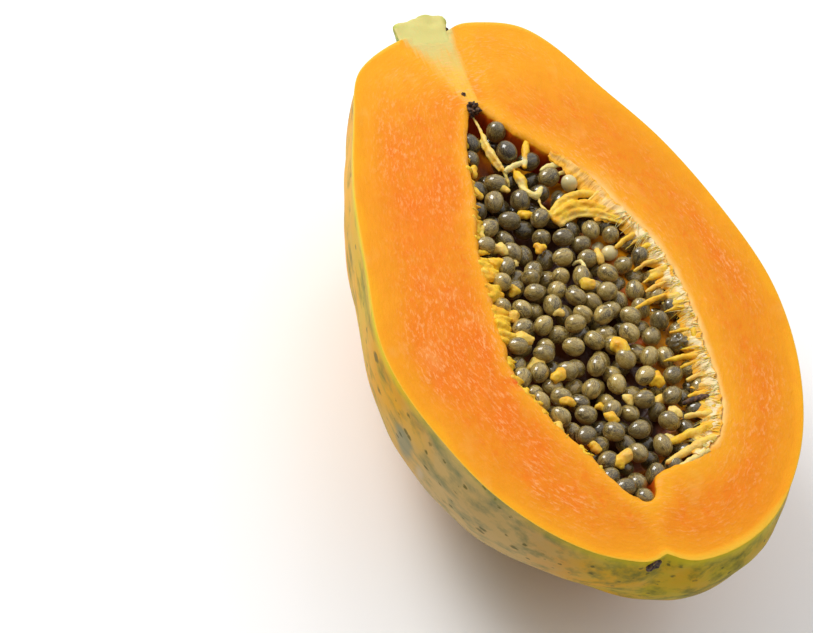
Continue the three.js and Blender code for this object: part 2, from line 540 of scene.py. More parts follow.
@dataclass(frozen=True)
class RipeFlesh:
    """Ripe papaya flesh cut with a knife: juicy, so light sinks in and it glistens, with a coarse grain."""

    under_skin: str = "#E2BC3C"
    edge: str = "#ECA010"
    outer: str = "#E8940E"
    body: str = "#E4890A"
    deep: str = "#E67308"
    golden: str = "#EEA318"
    creamy: str = "#F2CC80"
    core: str = "#D0C074"
    core_end: str = "#EDB63C"
    # The vein colour is partly pale veins, partly painted glints of wet flesh.
    vein_and_glint: str = "#F6B070"
    bruise: str = "#E8400C"
    grain_size: float = 1.1
    vein_width: float = 0.8
    vein_length: float = 2.2

    def material(self) -> Material:
        """Builds the material.

        Returns:
            The material.
        """
        mix = Recipe("cut papaya flesh")

        # The golden layer under the skin passes into orange within a centimetre, along a wandering line.
        cloud = mix.noise(pitch(11, 17), Detail=3.0)
        depth = mix.wander("from_skin", cloud, 7.0)
        stops = [(0.0, self.edge), (0.03, self.edge), (0.14, self.outer), (0.5, self.body), (1.0, self.body)]
        mix.grade(depth, 20.0, stops)

        # Riper, deeper orange in drifts about 40 mm long.
        drift = mix.noise(pitch(23, 42), Detail=4.0, Roughness=0.62)
        drifts = mix.node("MapRange", {"From Min": 0.44, "From Max": 0.66}, {"Value": drift})
        inland = mix.node("MapRange", {"From Min": 5.0, "From Max": 12.0}, {"Value": depth})
        ripe = mix.node("Math", {"operation": "MULTIPLY"}, {0: drifts, 1: inland})
        share = {"operation": "MULTIPLY_ADD", "use_clamp": True, 1: 0.8}
        mix.lay(self.deep, mix.node("Math", share, {0: ripe, 2: "riper"}))

        # Soft and firm cells mottle it, from a few millimetres down.
        mottle = mix.noise(pitch(2.6, 4.0), Detail=5.0, Roughness=0.7)
        mix.lay(self.deep, mottle, (0.48, 0.66), 0.65, within=[inland])

        # Towards the cavity the flesh turns golden again, over a wider band on one side. Where the placenta
        # tore from the lip, it stays creamy.
        mix.lay(self.golden, mix.wander("golden", cloud, 0.63), (0.12, 0.95), 0.85)
        mix.lay(self.creamy, mix.wander("creamy", cloud, 0.98), (0.1, 0.9), 0.9)

        # The pale core runs from the stalk to the cavity's tip in long streaks and yellows on its way.
        streak = mix.noise(pitch(1.1, 9), Detail=4.0, Roughness=0.6)
        streaky = mix.node("Math", {"operation": "MULTIPLY_ADD", 1: 1.5}, {0: streak, 2: "core"})
        ends = {"data_type": "RGBA", "A": self.core_end, "B": self.core}
        mix.lay(mix.node("Mix", ends, {"Factor": "stalkward"}), streaky, (0.95, 1.8))
        mix.lay(self.bruise, "bruise")

        # Just under the skin lies a pale yellow layer, from 0.5 mm where ripe to over 2 mm where green.
        thickness = {"From Min": 0.3, "From Max": 0.46, "To Min": 0.5, "To Max": 2.6}
        thick = mix.node("MapRange", thickness, {"Value": "unripe"})
        into = mix.node("Math", {"operation": "DIVIDE"}, {0: "from_skin", 1: thick})
        mix.lay(self.under_skin, into, (1.0, 0.1), 0.7)

        # Paler veins and torn cells, with painted glints of wet flesh among them, drawn out alongside the
        # skin, which come and go.
        step = mix.node("Mapping", {"Scale": pitch(self.vein_length)}, {"Vector": mix.place})
        step = mix.node("SeparateXYZ", links={"Vector": step})
        across = mix.node("Math", {"operation": "DIVIDE", 1: self.vein_width}, {0: "from_skin"})
        beside = mix.node("CombineXYZ", links={"X": across, "Y": step.outputs["Y"], "Z": step.outputs["X"]})
        vein_and_glint = mix.node("TexNoise", {"Scale": 1.0, "Detail": 5.0, "Roughness": 0.68}, {"Vector": beside})
        here = mix.node("MapRange", {"From Min": 0.35, "From Max": 0.65}, {"Value": drift})
        away = mix.node("MapRange", {"From Min": 2.0, "From Max": 9.0}, {"Value": "from_skin"})
        mix.lay(self.vein_and_glint, vein_and_glint, (0.5, 0.71), 0.9, within=[here, away])

        # Knife-cut juice cells: fine bumps that break up the gloss.
        cells = mix.noise(pitch(self.grain_size), Detail=4.0, Roughness=0.6)
        depths = soft(0.12, 2, (1.0, 0.4, 0.12))
        surface = {"Roughness": 0.5, "IOR": 1.34, "Specular IOR Level": 0.28, **depths}
        return mix.finish([(cells, 0.55, 0.25), (vein_and_glint, 0.6, 0.3)], surface)


@dataclass(frozen=True)
class CavityWall:
    """The moist wall of the seed cavity: golden at the lip and redder as it goes down, then darker with
    painted shade.
    """

    lip: str = "#EFA01C"
    upper: str = "#D2560C"
    lower: str = "#A03008"
    # The floor colour is painted shade deep in the cavity.
    floor: str = "#261608"

    def material(self) -> Material:
        """Builds the material.

        Returns:
            The material.
        """
        mix = Recipe("papaya cavity wall")
        fibres = mix.noise(pitch(1.6, 1.6, 5), Detail=3.0)
        # Painted shade: past the reds, the grade darkens to the near-black floor deep in the cavity.
        stops = [(0.0, self.lip), (0.06, self.lip), (0.18, self.upper), (0.5, self.lower), (1.0, self.floor)]
        mix.grade(mix.wander("below", fibres, 3.0), 14.0, stops)
        surface = {"Roughness": 0.35, "IOR": 1.36, "Specular IOR Level": 0.3, **soft(0.1, 2)}
        return mix.finish([(fibres, 0.6, 0.4)], surface)


@dataclass(frozen=True)
class PapayaSkin:
    """Thin waxy papaya skin: golden where ripe, green and grey where not, with dark green flecks.

    Each kind of fleck has the size of its Voronoi cells in millimetres, how much longer than wide they are,
    and the share of cells that stay empty.
    """

    ripe: str = "#E4A81A"
    orange: str = "#DA8E18"
    unripe: str = "#C8B21E"
    green: str = "#70721C"
    fleck: str = "#4E501A"
    # The shade colour is painted shade on one flank, over the skin's own tan.
    shade: str = "#CEAE6E"
    slate: str = "#82865E"
    ashen: str = "#94906C"
    edge: str = "#E2CA1E"
    scuff: str = "#D8BC90"
    flecks: tuple[Triple, ...] = ((1.9, 1.9, 0.3), (3.6, 1.7, 0.45))

    def material(self) -> Material:
        """Builds the material.

        Returns:
            The material.
        """
        mix = Recipe("papaya skin")

        # Ripeness drifts from gold to orange over the fruit.
        mix.colour = self.ripe
        mix.lay(self.orange, mix.noise(pitch(26, 44), Detail=3.0), (0.45, 0.7))

        # Unripe green washes over both ends and in clouds between, and down the left flank partly as painted
        # shade.
        cloud = mix.noise(pitch(13, 24), Detail=5.0, Roughness=0.6)
        wash = mix.node("Math", {"operation": "ADD"}, {0: cloud, 1: "unripe"})
        mix.lay(self.unripe, wash, (0.6, 0.95), 0.9)

        # One flank is tan with painted shade, mottled slate green.
        dull = mix.node("Math", {"operation": "MULTIPLY_ADD", 1: 1.2}, {0: "dull", 2: cloud})
        mix.lay(self.shade, dull, (0.8, 1.4), 0.9)
        mottle = mix.noise(pitch(4.5, 13), Detail=4.0, Roughness=0.6)
        mottled = mix.node("Math", {"operation": "MULTIPLY_ADD", 1: 0.3}, {0: "unripe", 2: mottle})
        mottled = mix.node("Math", {"operation": "MULTIPLY_ADD", 1: 0.1}, {0: "dull", 2: mottled})
        slate = mix.node("Mix", {"data_type": "RGBA", "A": self.green, "B": self.slate}, {"Factor": "dull"})
        mix.lay(slate, mottled, (0.55, 0.8), 0.9)
        ashen = mix.node("Math", {"operation": "MULTIPLY_ADD", 1: 0.6}, {0: mottle, 2: "ashen"})
        mix.lay(self.ashen, ashen, (0.55, 1.0), 0.85)
        self.add_flecks(mix)

        # Scuffs are worn tan, and a bright line of unripe skin runs along the cut, but faintly on the flank
        # with painted shade.
        worn = mix.node("Math", {"operation": "MULTIPLY"}, {0: "scuff", 1: mottle})
        mix.lay(self.scuff, worn, (0.3, 0.5), 0.7)
        bright = mix.node("MapRange", {"From Max": 0.8, "To Min": 1.0, "To Max": 0.2}, {"Value": "dull"})
        mix.lay(self.edge, "below", (3.6, 0.8), 0.85, within=[bright])

        # Wax gives a broad, even gloss over pores just under a millimetre wide.
        pores = mix.noise(pitch(0.8), Detail=2.0)
        gloss = mix.node("MapRange", {"To Min": 0.42, "To Max": 0.58}, {"Value": mottle})
        surface = {"IOR": 1.33, "Specular IOR Level": 0.2}
        return mix.finish([(pores, 0.25, 0.1), (mottle, 0.4, 0.5)], surface, {"Roughness": gloss})

    def add_flecks(self, mix: Recipe) -> None:
        """Lays dark flecks 1 to 4 mm long along the fruit; each Voronoi cell holds one, none or a big one.

        Args:
            mix: The skin in the making.
        """
        for size, longer, fewest in self.flecks:
            scale = {"Scale": pitch(size, size * longer), "Location": (size, 0, 0)}
            cells = mix.node("Mapping", scale, {"Vector": mix.place})
            ragged = mix.node("TexNoise", {"Scale": 3.2, "Detail": 3.0}, {"Vector": cells})
            bend = {"A": cells, "B": ragged.outputs["Color"]}
            bent = mix.node("Mix", {"data_type": "RGBA", "Factor": 0.3}, bend)
            cell = mix.node("TexVoronoi", {"Scale": 1.0, "Randomness": 1.0}, {"Vector": bent})
            luck = mix.node("SeparateColor", links={"Color": cell.outputs["Color"]})
            reach = mix.node("MapRange", {"From Min": fewest, "To Max": 0.3}, {"Value": luck})
            dark = mix.node("Math", {"operation": "SUBTRACT"}, {0: reach, 1: cell})
            mix.lay(self.fleck, dark, (0.0, 0.1), 0.75)


@dataclass(frozen=True)
class SeedCoat:
    """Fresh papaya seed in its wet jelly coat: dark and ribbed within, with a glassy, paler outside."""

    dark: str = "#3A2E18"
    olive: str = "#AC9148"
    net: str = "#D2BC74"
    groove: str = "#271C0C"
    painted_amber_glow: str = "#A8701C"
    # The amber is a painted glow on each seed's underside.
    pale: str = "#DCCB90"
    jelly: str = "#D2BC80"
    burnt: str = "#24150C"

    def material(self) -> Material:
        """Builds the material.

        Returns:
            The material.
        """
        mix = Recipe("papaya seed coat")
        wrap = mix.node("SeparateXYZ", links={"Vector": mix.node("TexCoord").outputs["UV"]})

        # The pattern wraps round the seed without a seam; each seed has its own stretch of it.
        angle = mix.node("Math", {"operation": "MULTIPLY", 1: math.tau}, {0: wrap.outputs["X"]})
        east = mix.node("Math", {"operation": "COSINE"}, {0: angle})
        north = mix.node("Math", {"operation": "SINE"}, {0: angle})
        ring = mix.node("CombineXYZ", links={"X": east, "Y": north, "Z": wrap.outputs["Y"]})
        own = mix.node("CombineXYZ", links={"X": "luck", "Z": "luck"})
        moved = mix.node("VectorMath", {"operation": "MULTIPLY_ADD", 1: (37.0, 0, 23.0)}, {0: own, 2: ring})

        # Dark clouds show through the jelly, under a fine pale net drawn out from end to end.
        # The tint holds each seed's own tone, plus painted shade on seeds deep in the pile.
        mix.colour = self.dark
        mix.lay(self.olive, "tint")
        cloud = mix.noise((1.5, 1.5, 2.4), moved, Detail=3.0, Roughness=0.6)
        mix.lay(self.groove, cloud, (0.58, 0.4), 0.75)
        net = mix.noise((3.4, 3.4, 6.0), moved, Detail=3.0, Distortion=1.2)
        line = mix.node("Math", {"operation": "SUBTRACT", 1: 0.52}, {0: net})
        line = mix.node("Math", {"operation": "ABSOLUTE"}, {0: line})
        faint = mix.node("Math", {"operation": "MULTIPLY_ADD", 1: 0.75, 2: 0.3}, {0: "tint"})
        mix.lay(self.net, line, (0.055, 0.0), 0.7, within=[faint])

        # Painted glow and reflection: each seed's downward side is painted amber, as light through the jelly
        # and off the orange flesh would warm it.
        mix.lay(self.painted_amber_glow, mix.node("Math", {"operation": "MULTIPLY", 1: 0.6}, {0: "under"}))
        mix.lay(self.pale, "pale")
        mix.lay(self.burnt, "burnt")
        surface = {
            "Roughness": 0.4,
            "IOR": 1.38,
            "Specular IOR Level": 0.25,
            "Coat Weight": 1.0,
            "Coat IOR": 1.7,
            "Coat Roughness": 0.09,
            "Sheen Weight": 0.3,
            "Sheen Roughness": 0.4,
            "Sheen Tint": self.jelly,
            **soft(0.3, 1.2, (1.0, 0.62, 0.25)),
        }
        return mix.finish([(net, 0.35, 0.2)], surface)


@dataclass(frozen=True)
class Placenta:
    """Moist placental tissue: soft, fibrous and golden, paler and drier where "pale" is high."""

    gold: str = "#EEC02C"
    deep: str = "#E6A21A"
    cream: str = "#E6D48C"
    fibre_size: float = 0.8

    def material(self) -> Material:
        """Builds the material.

        Returns:
            The material.
        """
        mix = Recipe("papaya placental tissue")
        mix.colour = self.gold
        mix.lay(self.deep, mix.noise(pitch(3.5), Detail=2.0), (0.42, 0.66), 0.8)
        fibres = mix.noise(pitch(self.fibre_size), Detail=3.0)
        dry = mix.node("Math", {"operation": "MULTIPLY_ADD", 1: 0.5}, {0: fibres, 2: "pale"})
        mix.lay(self.cream, dry, (0.35, 1.0))
        surface = {"Roughness": 0.42, "IOR": 1.38, **soft(0.35, 1.5, (1.0, 0.6, 0.2))}
        return mix.finish([(fibres, 0.5, 0.3)], surface)


@dataclass(frozen=True)
class SunkenTissue:
    """The wet bed under the seeds: brown with juice and shade in the middle, orange towards the wall."""

    middle: str = "#4A230A"
    ring: str = "#A8500C"
    edge: str = "#E0900F"

    def material(self) -> Material:
        """Builds the material.

        Returns:
            The material.
        """
        mix = Recipe("juicy placental bed")
        lumps = mix.noise(pitch(3), Detail=4.0)
        stops = [(0.0, self.edge), (0.18, self.edge), (0.45, self.ring), (0.85, self.middle)]
        mix.grade(mix.wander("from_cavity", lumps, 8.0), 14.0, stops)
        return mix.finish([(lumps, 0.8, 0.6)], {"Roughness": 0.3, "IOR": 1.36, "Specular IOR Level": 0.35})


@dataclass(frozen=True)
class StalkWood:
    """Young papaya stalk: pale green rind over cream, fibrous pith that shows on the cut side."""

    pith: str = "#CFC474"
    rind: str = "#B8BC50"
    shade: str = "#949A38"

    def material(self) -> Material:
        """Builds the material.

        Returns:
            The material.
        """
        mix = Recipe("green papaya stalk")
        cloud = mix.noise(pitch(3), Detail=2.0)
        mix.colour = self.rind
        mix.lay(self.shade, cloud, (0.4, 0.62))
        mix.lay(self.pith, mix.wander("from_rind", cloud, 1.6), (0.3, 2.2))
        fibres = mix.noise(pitch(0.8, 4.0), Detail=4.0)
        surface = {"Roughness": 0.5, "IOR": 1.4, **soft(0.15, 2)}
        return mix.finish([(fibres, 0.5, 0.3)], surface)


@dataclass(frozen=True)
class DriedHusk:
    """Dried plant remains: brittle, nearly black, with lighter worn ridges."""

    dark: str = "#26130A"
    worn: str = "#7C5638"

    def material(self) -> Material:
        """Builds the material.

        Returns:
            The material.
        """
        mix = Recipe("dried brown husk")
        crumbs = mix.noise(pitch(0.7), Detail=3.0)
        mix.grade(crumbs, 1.0, [(0.42, self.dark), (0.7, self.worn)])
        return mix.finish([(crumbs, 0.8, 0.4)], {"Roughness": 0.6})


@dataclass(frozen=True)
class MarginTissue:
    """The torn lip of the placenta: dry cream fibres that run inward and turn golden at their ragged ends."""

    cream: str = "#F8E0AE"
    straw: str = "#F0C056"
    gold: str = "#F4B022"
    deep: str = "#C47814"

    def material(self) -> Material:
        """Builds the material.

        Returns:
            The material.
        """
        mix = Recipe("fibrous placental margin")
        strip = mix.node("CombineXYZ", links={"X": "along", "Y": "across"})
        cloud = mix.noise((1 / 5.0, 1.6, 1.0), strip, Detail=3.0)
        stops = [(0.0, self.gold), (0.16, self.cream), (0.4, self.cream), (0.6, self.straw), (0.8, self.gold)]
        mix.grade(mix.wander("across", cloud, 1.3), 1.0, stops)
        fresh = mix.node("Math", {"operation": "MULTIPLY_ADD", 1: -24.0}, {0: cloud, 2: "along"})
        mix.lay(self.gold, fresh, (26.0, 4.0), 0.75)
        # Darker orange streaks between the fibres: partly the tissue's own tone, partly painted shade in the
        # gaps.
        streaks = mix.noise((1 / 0.55, 1.3, 1.0), strip, Detail=4.0, Roughness=0.6)
        mix.lay(self.deep, streaks, (0.52, 0.68), 0.5)
        surface = {"Roughness": 0.5, "IOR": 1.38, **soft(0.2, 1, (1.0, 0.6, 0.2))}
        return mix.finish([(streaks, 0.9, 0.5)], surface)


# ---- The fruit: skin, cut face and cavity wall in one piece ----


@dataclass(frozen=True)
class Spot:
    """A soft round or oval patch on the fruit: its middle, its reach across and along, and its strength."""

    x: float
    y: float
    across: float
    along: float
    strength: float

    def at(self, rows: np.ndarray) -> np.ndarray:
        """Works out the patch's strength at some places.

        Args:
            rows: The places in metres, one per row.

        Returns:
            The strength at each place.
        """
        dx = (rows[:, 0] / MM - self.x) / self.across
        dy = (rows[:, 1] / MM - self.y) / self.along
        return self.strength * np.exp(-(dx**2) - dy**2)


Spots = tuple[Spot, ...]


def patches(spots: Sequence[Spot], rows: np.ndarray) -> np.ndarray:
    """Returns the strength of some patches together at some places given in metres."""
    return sum(spot.at(rows) for spot in spots)


class Part(Enum):
    """The three surfaces of the fruit, each with its own material slot."""

    SKIN = 0
    FACE = 1
    CAVITY = 2


@dataclass
class FruitHalf:
    """Skin and flesh grown as one piece, open at the seed cavity.

    Lengths are in millimetres on the cut face. The core tapers from the stalk to the cavity's tip; both ends
    are given by x, y and half width, and its onsets follow the share of the way to the stalk. Names that end
    in _x, _y, _below or _up say what another onset follows.
    """

    cut: CutFace
    face_cuts: int = 15
    levels: int = 2
    core_tip: Triple = (-3.6, 62.0, 1.9)
    core_stalk: Triple = (-7.4, 92.0, 7.8)
    core_sway: Wave = Wave(1.6, 9.0, 3)
    core_starts: Onset = Onset(-0.12, 0.05)
    core_pales: Onset = Onset(0.65, 0.95, 0.45)
    core_whitens: Onset = Onset(0.2, 0.85)
    core_widens: float = 1.15
    core_firms: float = 2.5
    halo_offset: float = -1.5
    halo: float = 0.75
    stalk_half_width: float = 8.5
    stalk_y: Onset = Onset(84, 88, 10)
    stalk_dip: Onset = Onset(1.0, 0.55, 0.5)
    stalk_half_length: float = 6.5
    notch_x: float = -8.35
    notch_depth: float = 0.8
    notch_half_width: float = 1.5
    notch_reach: float = 6.0
    notch_height: float = 16.0
    lip_width: float = 1.7
    lip_drop: float = 0.9
    fray_wall: Onset = Onset(14, 3, 0.55)
    fray_lip: Onset = Onset(3.5, 0.5, 0.55)
    frays: tuple[tuple[Wave, Wave], ...] = (
        (Wave(1.0, (4.2, 4.2, 7.0), 8), Wave(0.5, (1.7, 1.7, 4.0), 12)),
        (Wave(1.0, (4.2, 4.2, 7.0), 9), Wave(0.5, (1.7, 1.7, 4.0), 13)),
    )
    rim_radius: float = 0.35
    face_sink: float = 0.25
    face_grain: Waves = (Wave(0.28, (14.0, 24.0, 14.0), 6), Wave(0.16, (2.2, 4.4, 2.2), 7))
    gold_width: float = 4.2
    gold_wider_x: Onset = Onset(-12, 16, 3.8)
    gold_y: Onset = Onset(42, 82, 0.75)
    torn_width: float = 1.8
    torn_x: Onset = Onset(4, 14)
    torn_top_y: Onset = Onset(36, 22)
    torn_end_y: Onset = Onset(-72, -66)
    red_y: Onset = Onset(34, 52)
    unripe_top_y: Onset = Onset(60, 92, 0.30)
    unripe_end_y: Onset = Onset(-74, -93, 0.16)
    unripe_below: Onset = Onset(9, 0, 0.1)
    shaded_flank_x: Onset = Onset(5, -25)
    ashen_below: Onset = Onset(8, 12)
    free_below: Onset = Onset(0, 7)
    free_up: Onset = Onset(1.5, 9)
    belly_below: Onset = Onset(0, 13)
    belly_up: Onset = Onset(2, 24)
    lobe_count: int = 5
    lobe_axis: float = 68.0
    lobe_height: float = 0.24
    lobe_ends: Onset = Onset(45, 88, 0.28)
    swell: Waves = (Wave(1.1, 38.0, 1), Wave(0.35, (9.0, 14.0, 9.0), 2))
    gold_streaks: Spots = (
        Spot(-8.0, -88.0, 3.0, 9.0, 0.5), Spot(3.0, 76.0, 3.0, 14.0, 0.4),
        Spot(-1.0, -75.0, 3.0, 5.0, 0.6),
    )
    bellies: Spots = (Spot(17.0, -98.0, 22, 17, 2.9), Spot(-52.0, -52.0, 22, 26, 2.4))
    riper: Spots = (
        Spot(-35.0, 20.0, 8, 16, 0.65), Spot(-23.0, 34.0, 5, 14, 0.35),
        Spot(-38.0, -26.0, 10, 22, 0.35), Spot(-33.0, -51.0, 9, 16, 0.35),
        Spot(18.0, -86.0, 16, 9, 0.3),
    )
    bruises: Spots = (Spot(-27.0, -37.6, 2.6, 2.0, 0.9), Spot(-29.8, -36.6, 1.4, 1.1, 0.5))
    # Where one flank gets painted shade.
    dull: Spots = (Spot(-38.0, -60.0, 30, 30, 1.1),)
    # Green washes; the long one down the left flank is partly the skin's own olive, partly painted shade.
    greens_and_shaded_strip: Spots = (
        Spot(10.0, -92.0, 27, 13, 0.25), Spot(-55.0, 14.0, 13, 46, 0.22),
        Spot(30.0, -60.0, 20, 20, 0.1),
    )
    ashen: Spots = (Spot(-56.5, -40.5, 3.5, 4.5, 1.0),)
    scuffs: Spots = (
        Spot(48.0, 14.0, 5, 9, 0.85), Spot(40.0, -58.0, 4, 7, 0.8),
        Spot(-52.3, -46.5, 2.0, 3.5, 1.0),
    )
    piece: Piece = field(init=False)
    on: dict[Part, np.ndarray] = field(init=False, default_factory=dict)
    cavity_edge: np.ndarray = field(init=False, default_factory=lambda: np.empty((0, 3)))

    def build(self) -> Piece:
        """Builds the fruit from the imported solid, with fine relief on every surface.

        Returns:
            The fruit.
        """
        piece = self.piece = copy_node("fruit_half", "papaya_flesh_and_skin")
        for finish in (PapayaSkin(), RipeFlesh(), CavityWall()):
            piece.data.materials.append(finish.material())
        self.open_cut_face()
        apply_modifier(piece, "SUBSURF", levels=self.levels, render_levels=self.levels)
        self.on = {part: np.zeros(len(piece.data.vertices), dtype=bool) for part in Part}
        for face in piece.data.polygons:
            self.on[Part(face.material_index)][list(face.vertices)] = True
        rows = self.edge(places(piece), Part.CAVITY)
        middle = rows.mean(axis=0)
        self.cavity_edge = rows[np.argsort(np.arctan2(rows[:, 1] - middle[1], rows[:, 0] - middle[0]))]
        self.store_flesh_fields()
        self.store_core_fields()
        self.store_skin_fields()
        self.shape_skin()
        self.shape_face()
        sharp = {"limit_method": "ANGLE", "angle_limit": math.radians(50)}
        apply_modifier(piece, "BEVEL", width=self.rim_radius * MM, segments=2, **sharp)
        smooth(piece, 45)
        hand_over(piece, piece.data.materials[0], "flesh_and_skin", "fruit_half")
        return piece

    def open_cut_face(self) -> None:
        """Replaces the flat cut face by rings of small quads and tells the three surfaces apart."""
        top = self.cut.height - 0.01 * MM
        select_faces(self.piece, lambda face: face.normal.z > 0.999 and face.center.z > top)
        bpy.ops.mesh.delete(type="FACE")
        select_faces(self.piece, lambda face: face.center.z < 1 * MM)
        bpy.ops.mesh.select_linked()
        bpy.ops.mesh.select_all(action="INVERT")
        self.piece.active_material_index = Part.CAVITY.value
        bpy.ops.object.material_slot_assign()
        bpy.ops.mesh.select_all(action="DESELECT")
        bpy.ops.mesh.select_mode(type="EDGE")
        bpy.ops.mesh.select_non_manifold()
        bpy.ops.transform.edge_crease(value=1.0)
        bpy.ops.mesh.bridge_edge_loops(number_cuts=self.face_cuts, interpolation="LINEAR")
        select_faces(self.piece, lambda face: face.normal.z > 0.999 and face.center.z > top)
        self.piece.active_material_index = Part.FACE.value
        bpy.ops.object.material_slot_assign()
        bpy.ops.object.mode_set(mode="OBJECT")

    def store(self, name: str, values: np.ndarray) -> None:
        """Stores one number per vertex of the fruit."""
        set_field(self.piece, name, values)

    def edge(self, rows: np.ndarray, part: Part) -> np.ndarray:
        """Returns those of the fruit's vertices at which a surface meets the cut face."""
        return rows[self.on[part] & self.on[Part.FACE]]

    def store_flesh_fields(self) -> None:
        """Stores how far each vertex lies from skin and cavity, and what colours the flesh there."""
        rows = places(self.piece)
        x, y = rows[:, 0] / MM, rows[:, 1] / MM
        from_skin = distance_to(rows, self.edge(rows, Part.SKIN))
        at_stalk = fade(np.abs(x - self.core_stalk[0]), self.stalk_half_width + 1.5, self.stalk_half_width)
        from_skin = np.maximum(from_skin, self.stalk_y.at(y) * at_stalk)
        self.store("from_skin", np.where(self.on[Part.FACE], from_skin, 0))

        # Towards the tip the cavity's wall is redder, as if it lay deeper, but its grade stops at 6 mm, so
        # the painted shade of the deep wall stays off there.
        below = self.cut.below(rows)
        tipward = np.where(self.on[Part.CAVITY], self.red_y.at(y), 0)
        self.store("below", below + tipward * (np.minimum(1.3 * below, 6.0) - below))
        from_cavity = distance_to(rows, self.edge(rows, Part.CAVITY))
        torn = self.torn_x.at(x) * self.torn_top_y.at(y) * self.torn_end_y.at(y)
        self.store("creamy", np.exp(-((from_cavity / self.torn_width) ** 2)) * torn)
        golden = np.exp(-((from_cavity / (self.gold_width + self.gold_wider_x.at(x))) ** 2))
        self.store("golden", np.maximum(golden, self.gold_y.at(y)))
        self.store("riper", patches(self.riper, rows))
        self.store("bruise", patches(self.bruises, rows) * (0.7 + 0.6 * rough(rows, 1.6, 5)))

    def store_core_fields(self) -> None:
        """Stores where the pale core shows, and the golden flesh beside it."""
        rows = places(self.piece)

        # Along the core, 0 at the cavity's tip and 1 at the stalk.
        tip, stalk = np.array(self.core_tip), np.array(self.core_stalk)
        along = (rows[:, 1] / MM - tip[1]) / (stalk[1] - tip[1])
        share = np.clip(along, 0, 1)
        middle = tip[0] + (stalk[0] - tip[0]) * share
        half = tip[2] + (stalk[2] - tip[2]) * share**self.core_widens
        off = rows[:, 0] / MM - middle + relief(rows, [self.core_sway]) * share

        # The left edge is soft near the tip and firm at the stalk.
        firm = share**self.core_firms
        left = fade(-off, half * (2.1 - 0.7 * firm), half * (0.1 + 0.8 * firm))
        core = np.where(off < 0, left, fade(off, half * 1.2, half * 0.7))
        self.store("core", core * self.core_starts.at(along) * (1 + self.core_pales.at(along)))
        self.store("stalkward", self.core_whitens.at(along + 0.15 * rough(rows, 6.0, 4)))
        halo = self.halo * share * fade(np.abs(off - self.halo_offset), half * 2.4, half * 0.8)
        self.store("golden", get_field(self.piece, "golden") + halo + patches(self.gold_streaks, rows))

    def store_skin_fields(self) -> None:
        """Stores where the skin is unripe, ashen or scuffed, and the flank that gets painted shade."""
        rows = places(self.piece)
        y, below = rows[:, 1] / MM, self.cut.below(rows)
        unripe = self.unripe_top_y.at(y) + self.unripe_end_y.at(y) + self.unripe_below.at(below)
        # Down the left flank the unripe wash is partly painted shade.
        self.store("unripe", unripe + patches(self.greens_and_shaded_strip, rows))
        self.store("dull", patches(self.dull, rows) * self.shaded_flank_x.at(rows[:, 0] / MM))
        self.store("ashen", patches(self.ashen, rows) * self.ashen_below.at(below))
        self.store("scuff", patches(self.scuffs, rows))

    def shape_skin(self) -> None:
        """Gives the skin the low lobes and dents of a grown fruit, and sharpens the blossom notch."""
        rows = places(self.piece)
        below = self.cut.below(rows)
        y, up = rows[:, 1] / MM, rows[:, 2] / MM
        free = np.where(self.on[Part.SKIN], self.free_below.at(below) * self.free_up.at(up), 0)
        round_axis = np.arctan2(up - self.lobe_axis, rows[:, 0] / MM)
        lobes = (self.lobe_height + self.lobe_ends.at(np.abs(y))) * np.cos(self.lobe_count * round_axis + 0.6)
        full = np.where(self.on[Part.SKIN], self.belly_below.at(below) * self.belly_up.at(up), 0)
        swell = (lobes + relief(rows, self.swell)) * free + patches(self.bellies, rows) * full
        rows += normals(self.piece) * (swell * MM)[:, None]

        groove = np.exp(-(((rows[:, 0] / MM - self.notch_x) / self.notch_half_width) ** 2))
        inland = np.exp(-((distance_to(rows, self.edge(rows, Part.SKIN)) / self.notch_reach) ** 2))
        reach = np.where(self.on[Part.FACE], inland, np.exp(-((below / self.notch_height) ** 2)))
        rows[:, 1] += self.notch_depth * MM * groove * reach * (y < 0)
        set_places(self.piece, rows)

    def shape_face(self) -> None:
        """Gives the cut face its grain, and the cavity a soft, frayed lip and a wrinkled wall."""
        rows = places(self.piece)
        on_face = self.on[Part.FACE]
        below = self.cut.below(rows)
        from_cavity = distance_to(rows, self.edge(rows, Part.CAVITY))
        free = np.where(on_face, fade(distance_to(rows, self.edge(rows, Part.SKIN)), 0.3, 3.0), 0)
        rows[:, 2] -= (self.face_sink + relief(rows, self.face_grain)) * free * MM
        across, along = rows[:, 0] / MM - self.core_stalk[0], rows[:, 1] / MM - self.core_stalk[1] - 1.0
        from_stalk = np.hypot(across / self.stalk_half_width, along / self.stalk_half_length)
        dip = self.stalk_dip.at(from_stalk + 0.25 * rough(rows, 2.5, 12))
        rows[:, 2] -= np.where(on_face, dip, 0) * MM
        lip = np.where(on_face, np.clip(1 - from_cavity / self.lip_width, 0, 1) ** 2, 0)
        rows[:, 2] -= lip * self.lip_drop * MM

        near = np.where(on_face, self.fray_lip.at(from_cavity), 0)
        near = np.where(self.on[Part.CAVITY], self.fray_wall.at(below), near)
        for axis, waves in enumerate(self.frays):
            rows[:, axis] += relief(rows, waves) * near * MM
        set_places(self.piece, rows)


# ---- What lies in the cavity ----


class SeedKind(Enum):
    """How a seed has grown."""

    RIPE = "ripe"
    PALE = "pale"
    SHRIVELLED = "shrivelled"


@dataclass(frozen=True)
class Lobe:
    """A lump of the tissue that held a seed: its place, its length and width, and how pale it is."""

    x: float
    y: float
    below: float
    length: float
    width: float
    pale: float = 0.15


@dataclass(frozen=True)
class Cord:
    """A strand of tissue: its (x, y, below, radius) from end to end, and how pale it is."""

    run: tuple[tuple[float, float, float, float], ...]
    pale: float = 0.2


